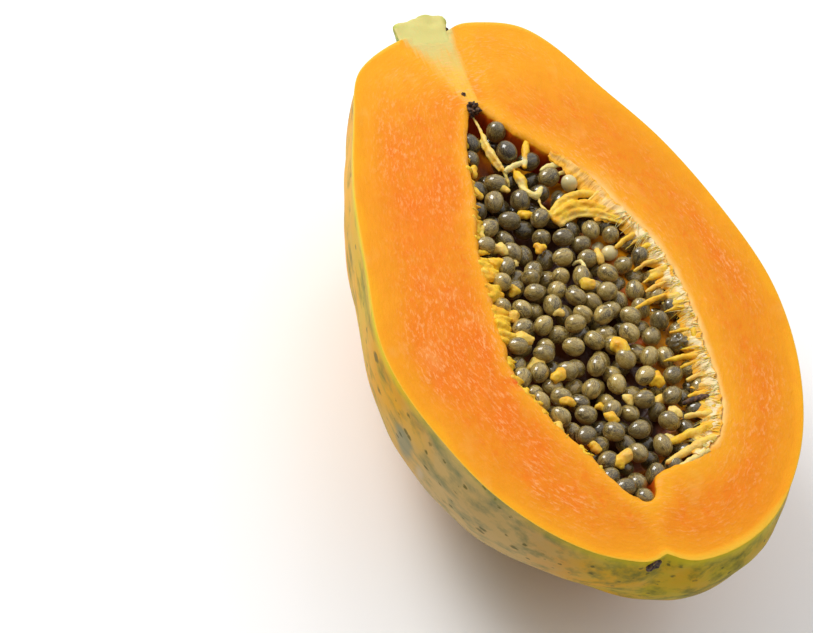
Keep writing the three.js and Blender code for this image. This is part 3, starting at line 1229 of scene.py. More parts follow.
@dataclass(frozen=True)
class Lip:
    """One side of the cavity's outline: evenly spaced places in millimetres, and the way in from each."""

    line: np.ndarray
    inward: np.ndarray

    def at(self, station: int, into: float, aside: float) -> tuple[float, float]:
        """Finds a place beside one of the lip's places.

        Args:
            station: Which of its places.
            into: How far into the cavity, in millimetres.
            aside: How far to the side.

        Returns:
            The place in millimetres.
        """
        way = self.inward[station]
        x, y = self.line[station] + way * into + np.array((way[1], -way[0])) * aside
        return x, y

    def pick(self, stations: tuple[int, int], luck: Luck) -> int:
        """Returns a station at random between the first given and the last, which counts from the end."""
        return int(luck.integers(stations[0], len(self.line) + stations[1]))


@dataclass
class Cavity:
    """The outline of the seed cavity on the cut face, and what it says about places inside it."""

    cut: CutFace
    outline: np.ndarray
    blossom_end: tuple[float, float] = (-6.0, -75.0)
    stalk_end: tuple[float, float] = (-3.5, 62.0)

    def inset(self, x: float, y: float) -> float:
        """Returns how far inside the outline a place lies, or less than 0 outside it.

        Args:
            x: Its place across the fruit, in millimetres.
            y: Its place along the fruit.

        Returns:
            The distance in millimetres.
        """
        here = np.array((x, y))
        start = self.outline[:, :2] / MM
        end = np.roll(start, -1, axis=0)
        run = end - start
        share = np.clip(((here - start) * run).sum(axis=1) / (run * run).sum(axis=1), 0, 1)
        gap = float(np.linalg.norm(start + run * share[:, None] - here, axis=1).min())
        crosses = (start[:, 1] > y) != (end[:, 1] > y)
        at = start[:, 0] + (y - start[:, 1]) / np.where(crosses, run[:, 1], 1) * run[:, 0]
        return gap if int((crosses & (at > x)).sum()) % 2 else -gap

    def lip(self, side: int, start: float, end: float, step: float) -> Lip:
        """Divides one side of the outline evenly.

        Args:
            side: 1 for the right side, -1 for the left.
            start: Where it starts, in millimetres along the fruit.
            end: Where it ends, further from the stalk.
            step: Distance from one place to the next in millimetres.

        Returns:
            The side of the outline.
        """
        rows = self.outline[:, :2] / MM
        ends = np.array((self.blossom_end, self.stalk_end))
        middle = np.interp(rows[:, 1], ends[:, 1], ends[:, 0])
        rows = rows[(side * (rows[:, 0] - middle) > 0) & (rows[:, 1] < start) & (rows[:, 1] > end)]
        rows = rows[np.argsort(-rows[:, 1])]
        gone = np.concatenate(((0.0,), np.cumsum(np.linalg.norm(np.diff(rows, axis=0), axis=1))))
        at = np.arange(0.0, gone[-1], step)
        line = np.column_stack([np.interp(at, gone, rows[:, axis]) for axis in (0, 1)])
        along = np.gradient(line, axis=0)
        along /= np.linalg.norm(along, axis=1)[:, None]
        return Lip(line, side * np.column_stack((along[:, 1], -along[:, 0])))


@dataclass
class SeedPile:
    """Seeds heaped in the cavity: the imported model's own, and others nestled between and under them.

    A seed is egg-shaped and lies any way up; its jelly coat gives way a little where two touch. Places are
    (x, y) on the cut face, with a reach where a third number follows. The first places are filled first, and
    seeds keep further from the wall on the right, where the margin hangs over a band of it.
    """

    cavity: Cavity
    length: float = 6.3
    width: float = 5.4
    height: float = 5.1
    taper: float = 0.16
    dents: Waves = (Wave(0.16, 3.2, 2),)
    wrinkles: Waves = (Wave(1.1, (1.2, 1.2, 3.4), 3), Wave(0.44, 0.9, 6))
    segments: int = 18
    rings: int = 12
    plump_y: Onset = Onset(6, 30, 0.12)
    light_y: Onset = Onset(32, -8, 0.8)
    light_end_y: Onset = Onset(-70, -38)
    shade_x: Onset = Onset(10, 22, 0.35)
    light_least: float = 0.16
    # Painted shade on seeds deep in the pile: the depth it starts at and how much it darkens per millimetre.
    painted_shade_below: float = 4.0
    painted_shade_gain: float = 0.06
    lightness_range: Span = (-0.4, 0.4)
    size_range: Span = (0.95, 1.03)
    reach: float = 5.55
    wall_margin: float = 2.5
    band_margin: float = 3.4
    band_x: float = 6.0
    band_y: Span = (-66, 26)
    squeeze_y: Onset = Onset(-64, -70, 1.3)
    grid: float = 1.1
    jitter: float = 0.4
    top: float = 3.6
    waves: Waves = (Wave(1.5, 17.0, 3), Wave(1.8, 6.5, 7))
    floor: float = 10.0
    whim: float = 1.6
    head_start: float = 3.0
    seed: int = 4
    hollows: Spots = (Spot(-4.0, 8.0, 6.5, 9.5, 4.6), Spot(12.0, 21.0, 6.0, 4.0, 4.5))
    pale_places: tuple[Triple, ...] = ((14.6, 29.3, 1.6), (17.5, 5.3, 2.6))
    shrivelled_places: tuple[Triple, ...] = ((24.5, -31.5, 1.6),)
    first_places: tuple[tuple[float, float], ...] = (
        (-7.9, 49.9), (1.1, 52.3), (-10.0, 43.9), (1.1, 43.7), (-6.3, 37.1), (7.2, 36.0), (12.3, 32.3),
        (14.6, 29.3), (24.5, -31.5), (-10.4, 30.4), (-5.5, 27.7), (-0.4, 27.3), (6.6, 29.1), (-14.8, 25.0),
        (-9.8, 21.7), (-11.1, -68.0), (-4.2, -70.1), (-10.2, -73.7), (-5.9, -75.4),
    )
    tip_end: float = 53.0
    middles: list[Vector] = field(init=False, default_factory=list)

    def build(self, lumps: Sequence[tuple[Vector, float]]) -> None:
        """Builds every seed.

        Args:
            lumps: The middles, in metres, and radii, in millimetres, of tissue that leaves no room.
        """
        luck = np.random.default_rng(self.seed)
        material = SeedCoat().material()
        patterns = {kind: self.pattern(kind) for kind in SeedKind}
        for node in self.nodes():
            rows = places(bpy.data.objects[node])
            middle = Vector(rows.mean(axis=0))
            far = rows[np.argmax(np.linalg.norm(rows - middle, axis=1))]
            piece = self.copy_seed(patterns, middle, Vector(far) - middle, luck, "papaya_" + node)
            hand_over(piece, material, "seed_coat", node)
        found = self.nestle(lumps, luck)
        extras = [self.copy_seed(patterns, middle, None, luck, "nestled") for middle in found]
        hand_over(join(extras, "papaya_seeds_nestled"), material, "seed_coat")
        for pattern in patterns.values():
            bpy.data.objects.remove(pattern)

    def nodes(self) -> list[str]:
        """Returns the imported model's own seeds, in order."""
        return sorted(node for node in bpy.data.objects.keys() if node.startswith("seed_"))

    def packed_middles(self) -> list[Vector]:
        """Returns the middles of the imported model's own seeds, in metres."""
        return [Vector(places(bpy.data.objects[node]).mean(axis=0)) for node in self.nodes()]

    def plumpness(self, y: float) -> float:
        """Returns how much larger seeds grow at this place along the fruit: by the stalk they are plumper."""
        return 1 + float(self.plump_y.at(y))

    def pattern(self, kind: SeedKind) -> Piece:
        """Models one seed about the origin, its long axis up.

        Args:
            kind: How the seed has grown.

        Returns:
            The seed.
        """
        finer = 3 if kind is SeedKind.SHRIVELLED else 1
        ball = {"radius": 0.5, "segments": self.segments * finer, "ring_count": self.rings * finer}
        piece = add_object("pattern_" + kind.value, bpy.ops.mesh.primitive_uv_sphere_add, **ball)
        size = {SeedKind.RIPE: 1.0, SeedKind.PALE: 0.85, SeedKind.SHRIVELLED: 0.98}[kind]
        bpy.ops.transform.resize(value=[v * size * MM for v in (self.width, self.height, self.length)])
        bpy.ops.object.transform_apply(location=False, scale=True)
        apply_modifier(piece, "SIMPLE_DEFORM", deform_method="TAPER", factor=self.taper, deform_axis="Z")
        if kind is SeedKind.SHRIVELLED:
            push(piece, relief(places(piece), self.wrinkles))
        smooth(piece)
        return piece

    def kind_at(self, x: float, y: float) -> SeedKind:
        """Says how the seed at a place has grown.

        Args:
            x: The seed's place across the fruit, in millimetres.
            y: Its place along the fruit.

        Returns:
            The kind.
        """
        special = {SeedKind.PALE: self.pale_places, SeedKind.SHRIVELLED: self.shrivelled_places}
        for kind, spots in special.items():
            if any(math.hypot(x - spot[0], y - spot[1]) < spot[2] for spot in spots):
                return kind
        return SeedKind.RIPE

    def lightness(self, x: float, y: float, below: float) -> float:
        """Returns how pale a seed's coat is: in the middle of the heap they are paler, and deep down darker
        with painted shade.

        Args:
            x: The seed's place across the fruit, in millimetres.
            y: Its place along the fruit.
            below: How deep it lies.

        Returns:
            The lightness, from about -0.2 to 1.
        """
        light = float(self.light_y.at(y) * self.light_end_y.at(y) * (1 - self.shade_x.at(x)))
        # Past that depth, painted shade darkens the seed a little more for each millimetre.
        return self.light_least + (light - self.painted_shade_gain * max(below - self.painted_shade_below, 0))

    def copy_seed(
        self,
        patterns: dict[SeedKind, Piece],
        middle: Vector,
        axis: Vector | None,
        luck: Luck,
        name: str,
    ) -> Piece:
        """Copies a seed to its place.

        Args:
            patterns: One modelled seed of each kind.
            middle: Where its middle goes, in metres.
            axis: Which way its long axis points, or None for any way.
            luck: Gives the small differences from seed to seed.
            name: The copy's name.

        Returns:
            The seed, not yet dressed.
        """
        x, y = middle.x / MM, middle.y / MM
        kind = self.kind_at(x, y)
        piece = bpy.data.objects.new(name, patterns[kind].data.copy())
        bpy.context.scene.collection.objects.link(piece)
        direction = Vector(luck.normal(size=3)) if axis is None else axis
        if luck.random() < 0.5:
            direction = -direction
        turn = direction.to_track_quat("Z", "Y").to_matrix().to_4x4()
        spin = Matrix.Rotation(luck.uniform(0, math.tau), 4, "Z")
        size = Matrix.Scale(self.plumpness(y) * (luck.uniform(*self.size_range) if axis is None else 1.0), 4)
        piece.data.transform(Matrix.Translation(middle) @ turn @ spin @ size)
        push(piece, relief(places(piece), self.dents))
        self.middles.append(middle)

        light = self.lightness(x, y, self.cavity.cut.depth(middle)) + luck.uniform(*self.lightness_range)
        coat = {
            "tint": np.clip(light, 0, 1),
            "pale": 0.9 if kind is SeedKind.PALE else 0.0,
            "burnt": 0.7 if kind is SeedKind.SHRIVELLED else 0.0,
            "luck": luck.random(),
        }
        for field_name, value in coat.items():
            set_field(piece, field_name, np.full(len(piece.data.vertices), value))
        # Painted glow: how far each vertex faces down, which sets the amber painted on the underside.
        set_field(piece, "under", fade(normals(piece)[:, 2], 0.4, -0.5))
        return piece

    def open_places(self, luck: Luck) -> np.ndarray:
        """Finds where the middle of a seed clears the wall and the margin.

        Args:
            luck: Moves each place a little off its grid.

        Returns:
            The first places and then the others, in millimetres.
        """
        low, high = self.cavity.outline.min(axis=0) / MM, self.cavity.outline.max(axis=0) / MM
        spots = []
        for x in np.arange(low[0], high[0], self.grid):
            for y in np.arange(low[1], high[1], self.grid):
                spot = np.array((x, y)) + luck.uniform(-self.jitter, self.jitter, 2) * self.grid
                by_band = x > self.band_x and self.band_y[0] < y < self.band_y[1]
                margin = (self.band_margin if by_band else self.wall_margin) - float(self.squeeze_y.at(y))
                if self.cavity.inset(*spot) > margin and spot[1] < self.tip_end:
                    spots.append(spot)
        return np.array((*self.first_places, *spots))

    def nestle(self, lumps: Sequence[tuple[Vector, float]], luck: Luck) -> list[Vector]:
        """Finds room for more seeds: each time the highest free place under the wavy top of the pile.

        Args:
            lumps: The middles and radii of tissue that leaves no room.
            luck: Breaks the order up a little.

        Returns:
            The middles of the seeds, in metres.
        """
        cut = self.cavity.cut
        taken = [(middle, self.reach * self.plumpness(middle.y / MM)) for middle in self.middles]
        taken += [(middle, radius + self.reach / 2) for middle, radius in lumps]
        obstacles = np.array([(at.x / MM, at.y / MM, cut.depth(at), room) for at, room in taken])
        grid = self.open_places(luck)
        flat = np.column_stack((grid, np.zeros(len(grid)))) * MM
        ceiling = self.top - relief(flat, self.waves) + patches(self.hollows, flat)
        whim = luck.uniform(0, self.whim, len(grid))
        whim[: len(self.first_places)] -= self.head_start

        def sink(index: int) -> float:
            """Finds how deep a seed goes at a place to clear every other seed.

            Args:
                index: Which place.

            Returns:
                The depth in millimetres.
            """
            gap = np.hypot(*(obstacles[:, :2] - grid[index]).T)
            close = gap < obstacles[:, 3]
            near = obstacles[close]
            half = np.sqrt(near[:, 3] ** 2 - gap[close] ** 2)
            depth = float(ceiling[index])
            for order in np.argsort(near[:, 2] - half):
                if near[order, 2] - half[order] < depth < near[order, 2] + half[order]:
                    depth = near[order, 2] + half[order]
            return depth

        depths = np.array([sink(index) for index in range(len(grid))])
        found = []
        while (depths + whim).min() < self.floor:
            best = int(np.argmin(depths + whim))
            place = (*grid[best], depths[best], self.reach * self.plumpness(grid[best][1]))
            found.append(cut.place(*place[:3]))
            obstacles = np.vstack((obstacles, place))
            for index in np.flatnonzero(np.hypot(*(grid - grid[best]).T) < place[3]):
                depths[index] = sink(index)
        LOG.info("nestled %d seeds", len(found))
        return found


@dataclass
class PlacentaBed:
    """The soft bed that the seeds were attached to, sunk deep in the cavity and banked up on its right."""

    cavity: Cavity
    sink: float = 2.2
    bank: float = 5.0
    bank_x: Onset = Onset(4, 18)
    bank_less_shade: float = 7.0
    hollow: Spot = Spot(-5.0, 7.0, 8.0, 11.0, 3.0)
    lumps: Waves = (Wave(1.2, 6.0, 1), Wave(0.5, 2.2, 2))

    def build(self) -> None:
        """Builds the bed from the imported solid."""
        piece = copy_node("placenta_bed", "papaya_placental_bed")
        apply_modifier(piece, "SUBSURF", levels=2, subdivision_type="SIMPLE")
        rows = places(piece)
        top = fade(normals(piece)[:, 2], 0.2, 0.8)
        banked = self.bank_x.at(rows[:, 0] / MM)
        drop = self.sink + relief(rows, self.lumps) + self.hollow.at(rows) - self.bank * banked
        rows[:, 2] -= drop * top * MM
        set_places(piece, rows)
        inset = np.array([self.cavity.inset(row[0] / MM, row[1] / MM) for row in rows])
        # Banked tissue is graded as if nearer the wall, so it takes less of the painted shade of the bed's
        # middle.
        set_field(piece, "from_cavity", inset - self.bank_less_shade * banked)
        smooth(piece)
        hand_over(piece, SunkenTissue().material(), "placenta", "placenta_bed")


def lay_cords(cut: CutFace, cords: Sequence[Cord], name: str, sides: int) -> Piece:
    """Lays tapered strands and turns them into one mesh, with each strand's paleness stored per vertex.

    Args:
        cut: The cut face their places are given on.
        cords: The strands.
        name: The new piece's name.
        sides: Resolution round a strand.

    Returns:
        The piece.
    """
    piece = add_object(name, bpy.ops.curve.primitive_nurbs_path_add)
    shape = piece.data
    shape.splines.clear()
    shape.bevel_depth = 1.0 * MM
    shape.bevel_resolution = sides
    shape.use_fill_caps = True
    for cord in cords:
        spline = shape.splines.new("NURBS")
        spline.points.add(len(cord.run) - 1)
        for point, (x, y, below, radius) in zip(spline.points, cord.run):
            point.co = (*cut.place(x, y, below), 1.0)
            point.radius = radius
        spline.order_u = min(4, len(cord.run))
        spline.use_endpoint_u = True
        spline.resolution_u = 5
    bpy.ops.object.convert(target="MESH")
    tree = tree_of([cut.place(*point[:3]) for cord in cords for point in cord.run])
    pale = [cord.pale for cord in cords for _ in cord.run]
    set_field(piece, "pale", np.array([pale[tree.find(row)[1]] for row in places(piece)]))
    return piece


TISSUE_WRINKLES = (Wave(0.36, 2.2, 1), Wave(0.26, 1.0, 2))


def melt(piece: Piece, voxel: float) -> None:
    """Fuses overlapping strands into one soft, wrinkled skin, keeping their paleness.

    Args:
        piece: The strands.
        voxel: The size of the finest detail kept, in millimetres.
    """
    tree, pale = tree_of(places(piece)), get_field(piece, "pale")
    apply_modifier(piece, "REMESH", mode="VOXEL", voxel_size=voxel * MM)
    push(piece, relief(places(piece), TISSUE_WRINKLES))
    apply_modifier(piece, "SMOOTH", factor=0.5, iterations=4)
    nearest = [[index for _, index, _ in tree.find_n(row, 6)] for row in places(piece)]
    set_field(piece, "pale", np.array([pale[few].mean() for few in nearest]))
    smooth(piece)


@dataclass
class Strands:
    """Strands of placental tissue at the stalk end: the long ribbon, the web and the folded lumps by it.

    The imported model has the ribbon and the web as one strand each; both stay where their nodes are.
    """

    cut: CutFace
    voxel: float = 0.32
    ribbon: tuple[Cord, ...] = (
        Cord(((-4.1, 59.0, 3.0, 0.25), (-3.6, 54.5, 2.6, 0.5), (-3.9, 49.0, 3.0, 0.85),
              (-3.6, 44.5, 3.0, 1.05), (-2.4, 39.8, 3.2, 0.8), (-1.4, 35.6, 4.2, 0.55),
              (-1.2, 33.0, 6.0, 0.45)), 0.45),
        Cord(((-4.9, 50.5, 3.6, 0.3), (-4.9, 46.2, 3.8, 0.7), (-4.0, 42.0, 4.0, 0.6),
              (-2.9, 38.0, 4.4, 0.3)), 0.2),
    )
    web: tuple[Cord, ...] = (
        Cord(((6.0, 19.6, 3.4, 0.7), (9.4, 22.3, 2.8, 1.2), (13.0, 23.8, 2.4, 1.4), (17.0, 24.2, 2.0, 1.3),
              (20.6, 23.2, 1.8, 1.0), (23.0, 22.0, 2.4, 0.7)), 0.2),
        Cord(((6.4, 18.4, 3.6, 0.9), (10.5, 20.6, 3.1, 1.5), (14.8, 21.4, 2.7, 1.6), (18.6, 19.8, 2.2, 1.3),
              (22.6, 17.2, 1.8, 0.9), (26.2, 13.4, 1.4, 0.6)), 0.05),
        Cord(((7.0, 17.0, 4.0, 0.9), (11.0, 18.7, 3.5, 1.2), (15.2, 19.1, 3.1, 1.1), (19.6, 16.8, 2.3, 0.9),
              (24.0, 13.8, 1.6, 0.7), (26.8, 10.4, 1.6, 0.4)), 0.1),
        Cord(((8.0, 15.7, 4.3, 0.8), (12.0, 17.2, 3.9, 0.6), (15.8, 17.4, 3.3, 0.5), (20.0, 15.0, 2.3, 0.5),
              (25.4, 10.8, 1.8, 0.4)), 0.3),
        Cord(((4.9, 27.4, 3.2, 0.3), (3.9, 24.0, 3.0, 0.35), (4.0, 21.6, 3.2, 0.45), (5.6, 18.9, 3.6, 0.8),
              (8.4, 15.4, 4.6, 0.9)), 0.4),
    )
    lumps: tuple[Cord, ...] = (
        Cord(((8.2, 46.0, 1.6, 0.7), (7.0, 43.6, 1.8, 1.5), (5.7, 40.0, 2.6, 1.4),
              (4.4, 36.9, 3.2, 0.8)), 0.1),
        Cord(((-2.2, 36.6, 3.4, 0.7), (-0.3, 37.6, 2.9, 1.2), (2.0, 38.4, 2.6, 1.1),
              (4.8, 39.3, 2.8, 0.6)), 0.95),
        Cord(((1.0, 36.4, 3.6, 0.8), (1.7, 34.0, 3.0, 1.9), (2.0, 31.4, 3.2, 1.8),
              (1.7, 29.2, 4.0, 1.0)), 0.0),
        Cord(((0.9, 31.4, 3.2, 0.5), (0.7, 28.6, 2.7, 0.9), (1.8, 26.0, 2.6, 1.1),
              (4.0, 26.0, 2.6, 1.2)), 0.55),
        Cord(((3.4, 25.9, 2.6, 1.1), (5.4, 26.8, 2.6, 1.0), (6.4, 28.8, 2.8, 0.7)), 0.75),
        Cord(((8.6, 35.0, 2.8, 0.6), (11.6, 36.2, 2.2, 1.2), (15.2, 36.4, 1.8, 1.0),
              (18.4, 36.0, 2.0, 0.5)), 0.65),
        Cord(((12.6, 33.0, 3.2, 0.5), (15.6, 33.6, 2.4, 0.9), (19.0, 33.2, 2.2, 0.6)), 0.5),
        Cord(((-6.2, 31.4, 4.0, 0.6), (-4.7, 31.6, 2.9, 1.2), (-3.6, 29.2, 3.4, 0.7)), 0.3),
        Cord(((6.6, 1.8, 6.0, 0.4), (8.4, 2.4, 3.0, 0.6), (8.8, -0.4, 2.9, 0.7),
              (7.6, -2.8, 3.6, 0.6)), 0.9),
    )

    def build(self) -> list[tuple[Vector, float]]:
        """Builds the strands.

        Returns:
            The places and radii of what they take up.
        """
        material = Placenta().material()
        for name, cords, nodes in (
            ("papaya_placental_ribbon", self.ribbon, ("placenta_strand_tip",)),
            ("papaya_placental_web", self.web, ("placenta_fold",)),
            ("papaya_placental_folds", self.lumps, ()),
        ):
            piece = lay_cords(self.cut, cords, name, 3)
            melt(piece, self.voxel)
            hand_over(piece, material, "placenta", *nodes)
        points = []
        for cord in (*self.ribbon, *self.web, *self.lumps):
            points += cord.run
            points += [tuple(np.mean(pair, axis=0)) for pair in zip(cord.run, cord.run[1:])]
        return [(self.cut.place(x, y, below), radius) for x, y, below, radius in points]


@dataclass(frozen=True)
class Fringe:
    """Strands that grow out of a lip into the cavity; each measure is drawn between two numbers.

    They start "into" the cavity and "start" below the cut. They sink by "sag" in all, and by "drop" times the
    square of how far they have gone. Around one place along the lip they are larger by "lush".
    """

    count: int
    stations: tuple[int, int]
    reach: Span
    lean: Span
    thick: Span
    start: Span
    pale: Span
    shares: tuple[float, ...]
    into: float
    taper: float
    further: float = 0.0
    drop: float = 0.0
    sag: float = 0.0
    size: float = 1.0
    lush: float = 0.0
    lush_y: float = 0.0
    lush_reach: float = 20.0

    def grow(self, lip: Lip, luck: Luck) -> list[Cord]:
        """Grows the strands.

        Args:
            lip: The lip they grow from.
            luck: Draws their places and measures.

        Returns:
            The strands.
        """
        cords = []
        for _ in range(self.count):
            station = lip.pick(self.stations, luck)
            from_lush = (lip.line[station][1] - self.lush_y) / self.lush_reach
            size = self.size + self.lush * float(np.exp(-(from_lush**2)))
            reach = luck.uniform(*self.reach) * size
            lean = luck.uniform(*self.lean)
            thick = luck.uniform(*self.thick) * size
            start = luck.uniform(*self.start)
            run = []
            for share in self.shares:
                place = lip.at(station, (reach + self.further) * share + self.into, lean * share)
                below = start + self.drop * (reach * share) ** 2 + self.sag * share**2
                run.append((*place, below, thick * (1.0 - self.taper * share**2)))
            cords.append(Cord(tuple(run), luck.uniform(*self.pale)))
        return cords


@dataclass
class PlacentaMargin:
    """The torn, fibrous margin left on the cavity's right lip: a sheet, hair-fine fibres and golden fingers.

    Thinner golden roots, scattered along the lip, reach from under the sheet down between the seeds.
    """

    cavity: Cavity
    start: float = 40.0
    end: float = -69.0
    step: float = 0.45
    rows_across: int = 14
    width: float = 5.2
    depth: float = 3.2
    outside: float = 0.3
    sunk: float = 0.3
    ragged: Waves = (Wave(0.6, 8.0, 1), Wave(0.6, 2.8, 2), Wave(0.3, 1.2, 3))
    uneven: Waves = (Wave(0.3, 9.0, 4),)
    frayed: Waves = (Wave(0.9, 1.5, 6), Wave(0.6, 5.0, 9))
    ridges: Wave = Wave(0.55, (1.5, 1 / 1.6, 1.0), 5)
    buckles: Wave = Wave(0.8, (3.6, 0.5, 1.0), 8)
    fade_in: float = 26.0
    fade_out: float = 8.0
    thickness: float = 0.6
    fibre_count: int = 130
    fibre_stations: tuple[int, int] = (62, -8)
    fibre_reach: Span = (2.5, 7.5)
    fibre_lean: Span = (-3.5, 3.5)
    fibre_thick: Span = (0.08, 0.24)
    fibre_lift: Span = (-0.3, 0.6)
    fibre_curl: Span = (-0.35, 0.35)
    fibre_pale: Span = (0.0, 1.1)
    fibre_drop: float = 0.085
    fibre_deepest: float = 5.0
    roots: Fringe = Fringe(
        count=26, stations=(40, -6), reach=(4.5, 8.5), lean=(-1.6, 1.6), thick=(0.55, 1.15), start=(0.9, 1.8),
        pale=(-0.1, 0.4), shares=(0.0, 0.35, 0.7, 1.0), into=0.8, taper=0.6, drop=0.06,
    )
    voxel: float = 0.34
    seed: int = 9
    fingers: tuple[Cord, ...] = (
        Cord(((27.5, -16.0, 1.6, 0.5), (24.0, -16.8, 1.6, 1.1), (19.5, -17.6, 2.2, 1.0),
              (16.0, -18.6, 3.6, 0.3)), 0.1),
        Cord(((29.5, -12.0, 1.2, 0.5), (26.0, -12.4, 1.3, 0.9), (22.0, -13.6, 2.4, 0.5)), 0.25),
        Cord(((31.0, -27.0, 1.0, 0.8), (29.4, -30.6, 1.0, 1.0), (28.6, -34.4, 1.6, 0.6)), 0.05),
        Cord(((29.5, -38.0, 1.8, 0.8), (25.4, -37.4, 1.8, 1.2), (21.0, -36.6, 2.6, 0.8),
              (18.0, -36.4, 4.0, 0.3)), 0.0),
        Cord(((28.5, -43.6, 1.6, 0.6), (25.0, -43.8, 1.8, 1.0), (21.5, -44.4, 3.0, 0.5)), 0.3),
        Cord(((27.0, -50.0, 1.6, 0.6), (23.4, -49.4, 1.8, 1.1), (19.4, -49.6, 2.8, 0.6)), 0.1),
        Cord(((24.8, -57.0, 1.6, 0.8), (20.4, -56.2, 2.0, 1.1), (16.0, -55.2, 3.2, 0.7)), 0.4),
        Cord(((22.6, -60.5, 1.2, 1.0), (18.0, -61.0, 1.8, 1.6), (13.0, -61.6, 2.4, 1.4),
              (7.0, -62.6, 3.4, 0.6)), 0.1),
        Cord(((20.4, -64.6, 0.8, 1.2), (15.4, -65.4, 1.4, 1.7), (10.0, -66.8, 2.0, 1.3),
              (4.4, -68.6, 3.0, 0.6)), 0.35),
        Cord(((17.0, -68.2, 0.6, 0.9), (12.0, -69.4, 1.2, 1.2), (6.6, -71.0, 1.8, 0.8),
              (2.4, -72.4, 2.6, 0.4)), 0.6),
        Cord(((29.0, -4.0, 1.2, 0.6), (25.4, -4.2, 1.8, 0.9), (22.0, -5.4, 3.2, 0.5)), 0.2),
        Cord(((27.0, 6.4, 1.0, 0.7), (23.6, 5.2, 1.8, 1.1), (20.0, 3.6, 3.0, 0.6)), 0.15),
    )

    def build(self) -> list[tuple[Vector, float]]:
        """Builds the margin.

        Returns:
            The places and radii of what it takes up.
        """
        cut = self.cavity.cut
        lip = self.cavity.lip(1, self.start, self.end, self.step)
        hand_over(self.sheet(lip), MarginTissue().material(), "placenta", "placenta_margin")
        material = Placenta().material()
        fibres = lay_cords(cut, self.fibre_runs(lip), "papaya_margin_fibres", 0)
        smooth(fibres)
        hand_over(fibres, material, "placenta")
        roots = self.roots.grow(lip, np.random.default_rng(self.seed + 1))
        fingers = lay_cords(cut, (*self.fingers, *roots), "papaya_margin_fingers", 2)
        melt(fingers, self.voxel)
        hand_over(fingers, material, "placenta")
        return [(cut.place(*point[:3]), point[3]) for cord in self.fingers for point in cord.run]

    def sheet(self, lip: Lip) -> Piece:
        """Drapes the sheet from the lip down into the cavity, with a ragged inner edge.

        Args:
            lip: The cavity's right lip.

        Returns:
            The sheet, with its distance along and share across stored for the finish.
        """
        count = len(lip.line)
        cells = {"size": 1.0, "x_subdivisions": count - 1, "y_subdivisions": self.rows_across - 1}
        piece = add_object("papaya_placental_margin", bpy.ops.mesh.primitive_grid_add, **cells)
        rows = places(piece)
        station = np.rint((rows[:, 0] + 0.5) * (count - 1)).astype(int)
        across = rows[:, 1] + 0.5
        gone = station * self.step

        # It narrows and flattens towards both ends, and wanders in width, depth and outer edge on its way.
        none = np.zeros(len(gone))
        line = np.column_stack((gone, none, none)) * MM
        ends = fade(gone, 0, self.fade_in) * fade(gone, gone.max(), gone.max() - self.fade_out)
        width = self.width * (1 + relief(line, self.ragged)) * (0.35 + 0.65 * ends)
        depth = self.depth * (1 + relief(line, self.uneven)) * (0.4 + 0.6 * ends)
        outside = self.outside + relief(line, self.frayed)
        reach = -outside + (width + outside) * across
        spot = lip.line[station] + lip.inward[station] * reach[:, None]

        # Fine ridges run inward over broader buckles.
        strip = np.column_stack((gone, across, none)) * MM
        folds = relief(strip, [self.ridges]) * fade(across, 0, 0.25) + relief(strip, [self.buckles])
        below = self.sunk + depth * across**1.3 - folds * fade(across, 0, 0.4)
        set_places(piece, np.array([self.cavity.cut.place(x, y, d) for (x, y), d in zip(spot, below)]))
        set_field(piece, "along", gone)
        set_field(piece, "across", across)
        apply_modifier(piece, "SOLIDIFY", thickness=self.thickness * MM, offset=0.0)
        smooth(piece, 60)
        return piece

    def fibre_runs(self, lip: Lip) -> list[Cord]:
        """Makes hair-fine fibres that curl from the lip into the cavity.

        Args:
            lip: The cavity's right lip.

        Returns:
            One thin strand per fibre.
        """
        luck = np.random.default_rng(self.seed)
        cords = []
        for _ in range(self.fibre_count):
            station = lip.pick(self.fibre_stations, luck)
            reach = luck.uniform(*self.fibre_reach)
            lean = luck.uniform(*self.fibre_lean)
            thick = luck.uniform(*self.fibre_thick)
            lift = luck.uniform(*self.fibre_lift)
            run = []
            for share in (0.0, 0.3, 0.65, 1.0):
                curl = lean * share**2 + luck.uniform(*self.fibre_curl)
                below = 0.1 + self.fibre_drop * (reach * share) ** 2 - lift * math.sin(share * math.pi)
                place = lip.at(station, reach * share - 0.3, curl)
                run.append((*place, min(below, self.fibre_deepest), thick * (1.1 - 0.85 * share)))
            cords.append(Cord(tuple(run), luck.uniform(*self.fibre_pale)))
        return cords


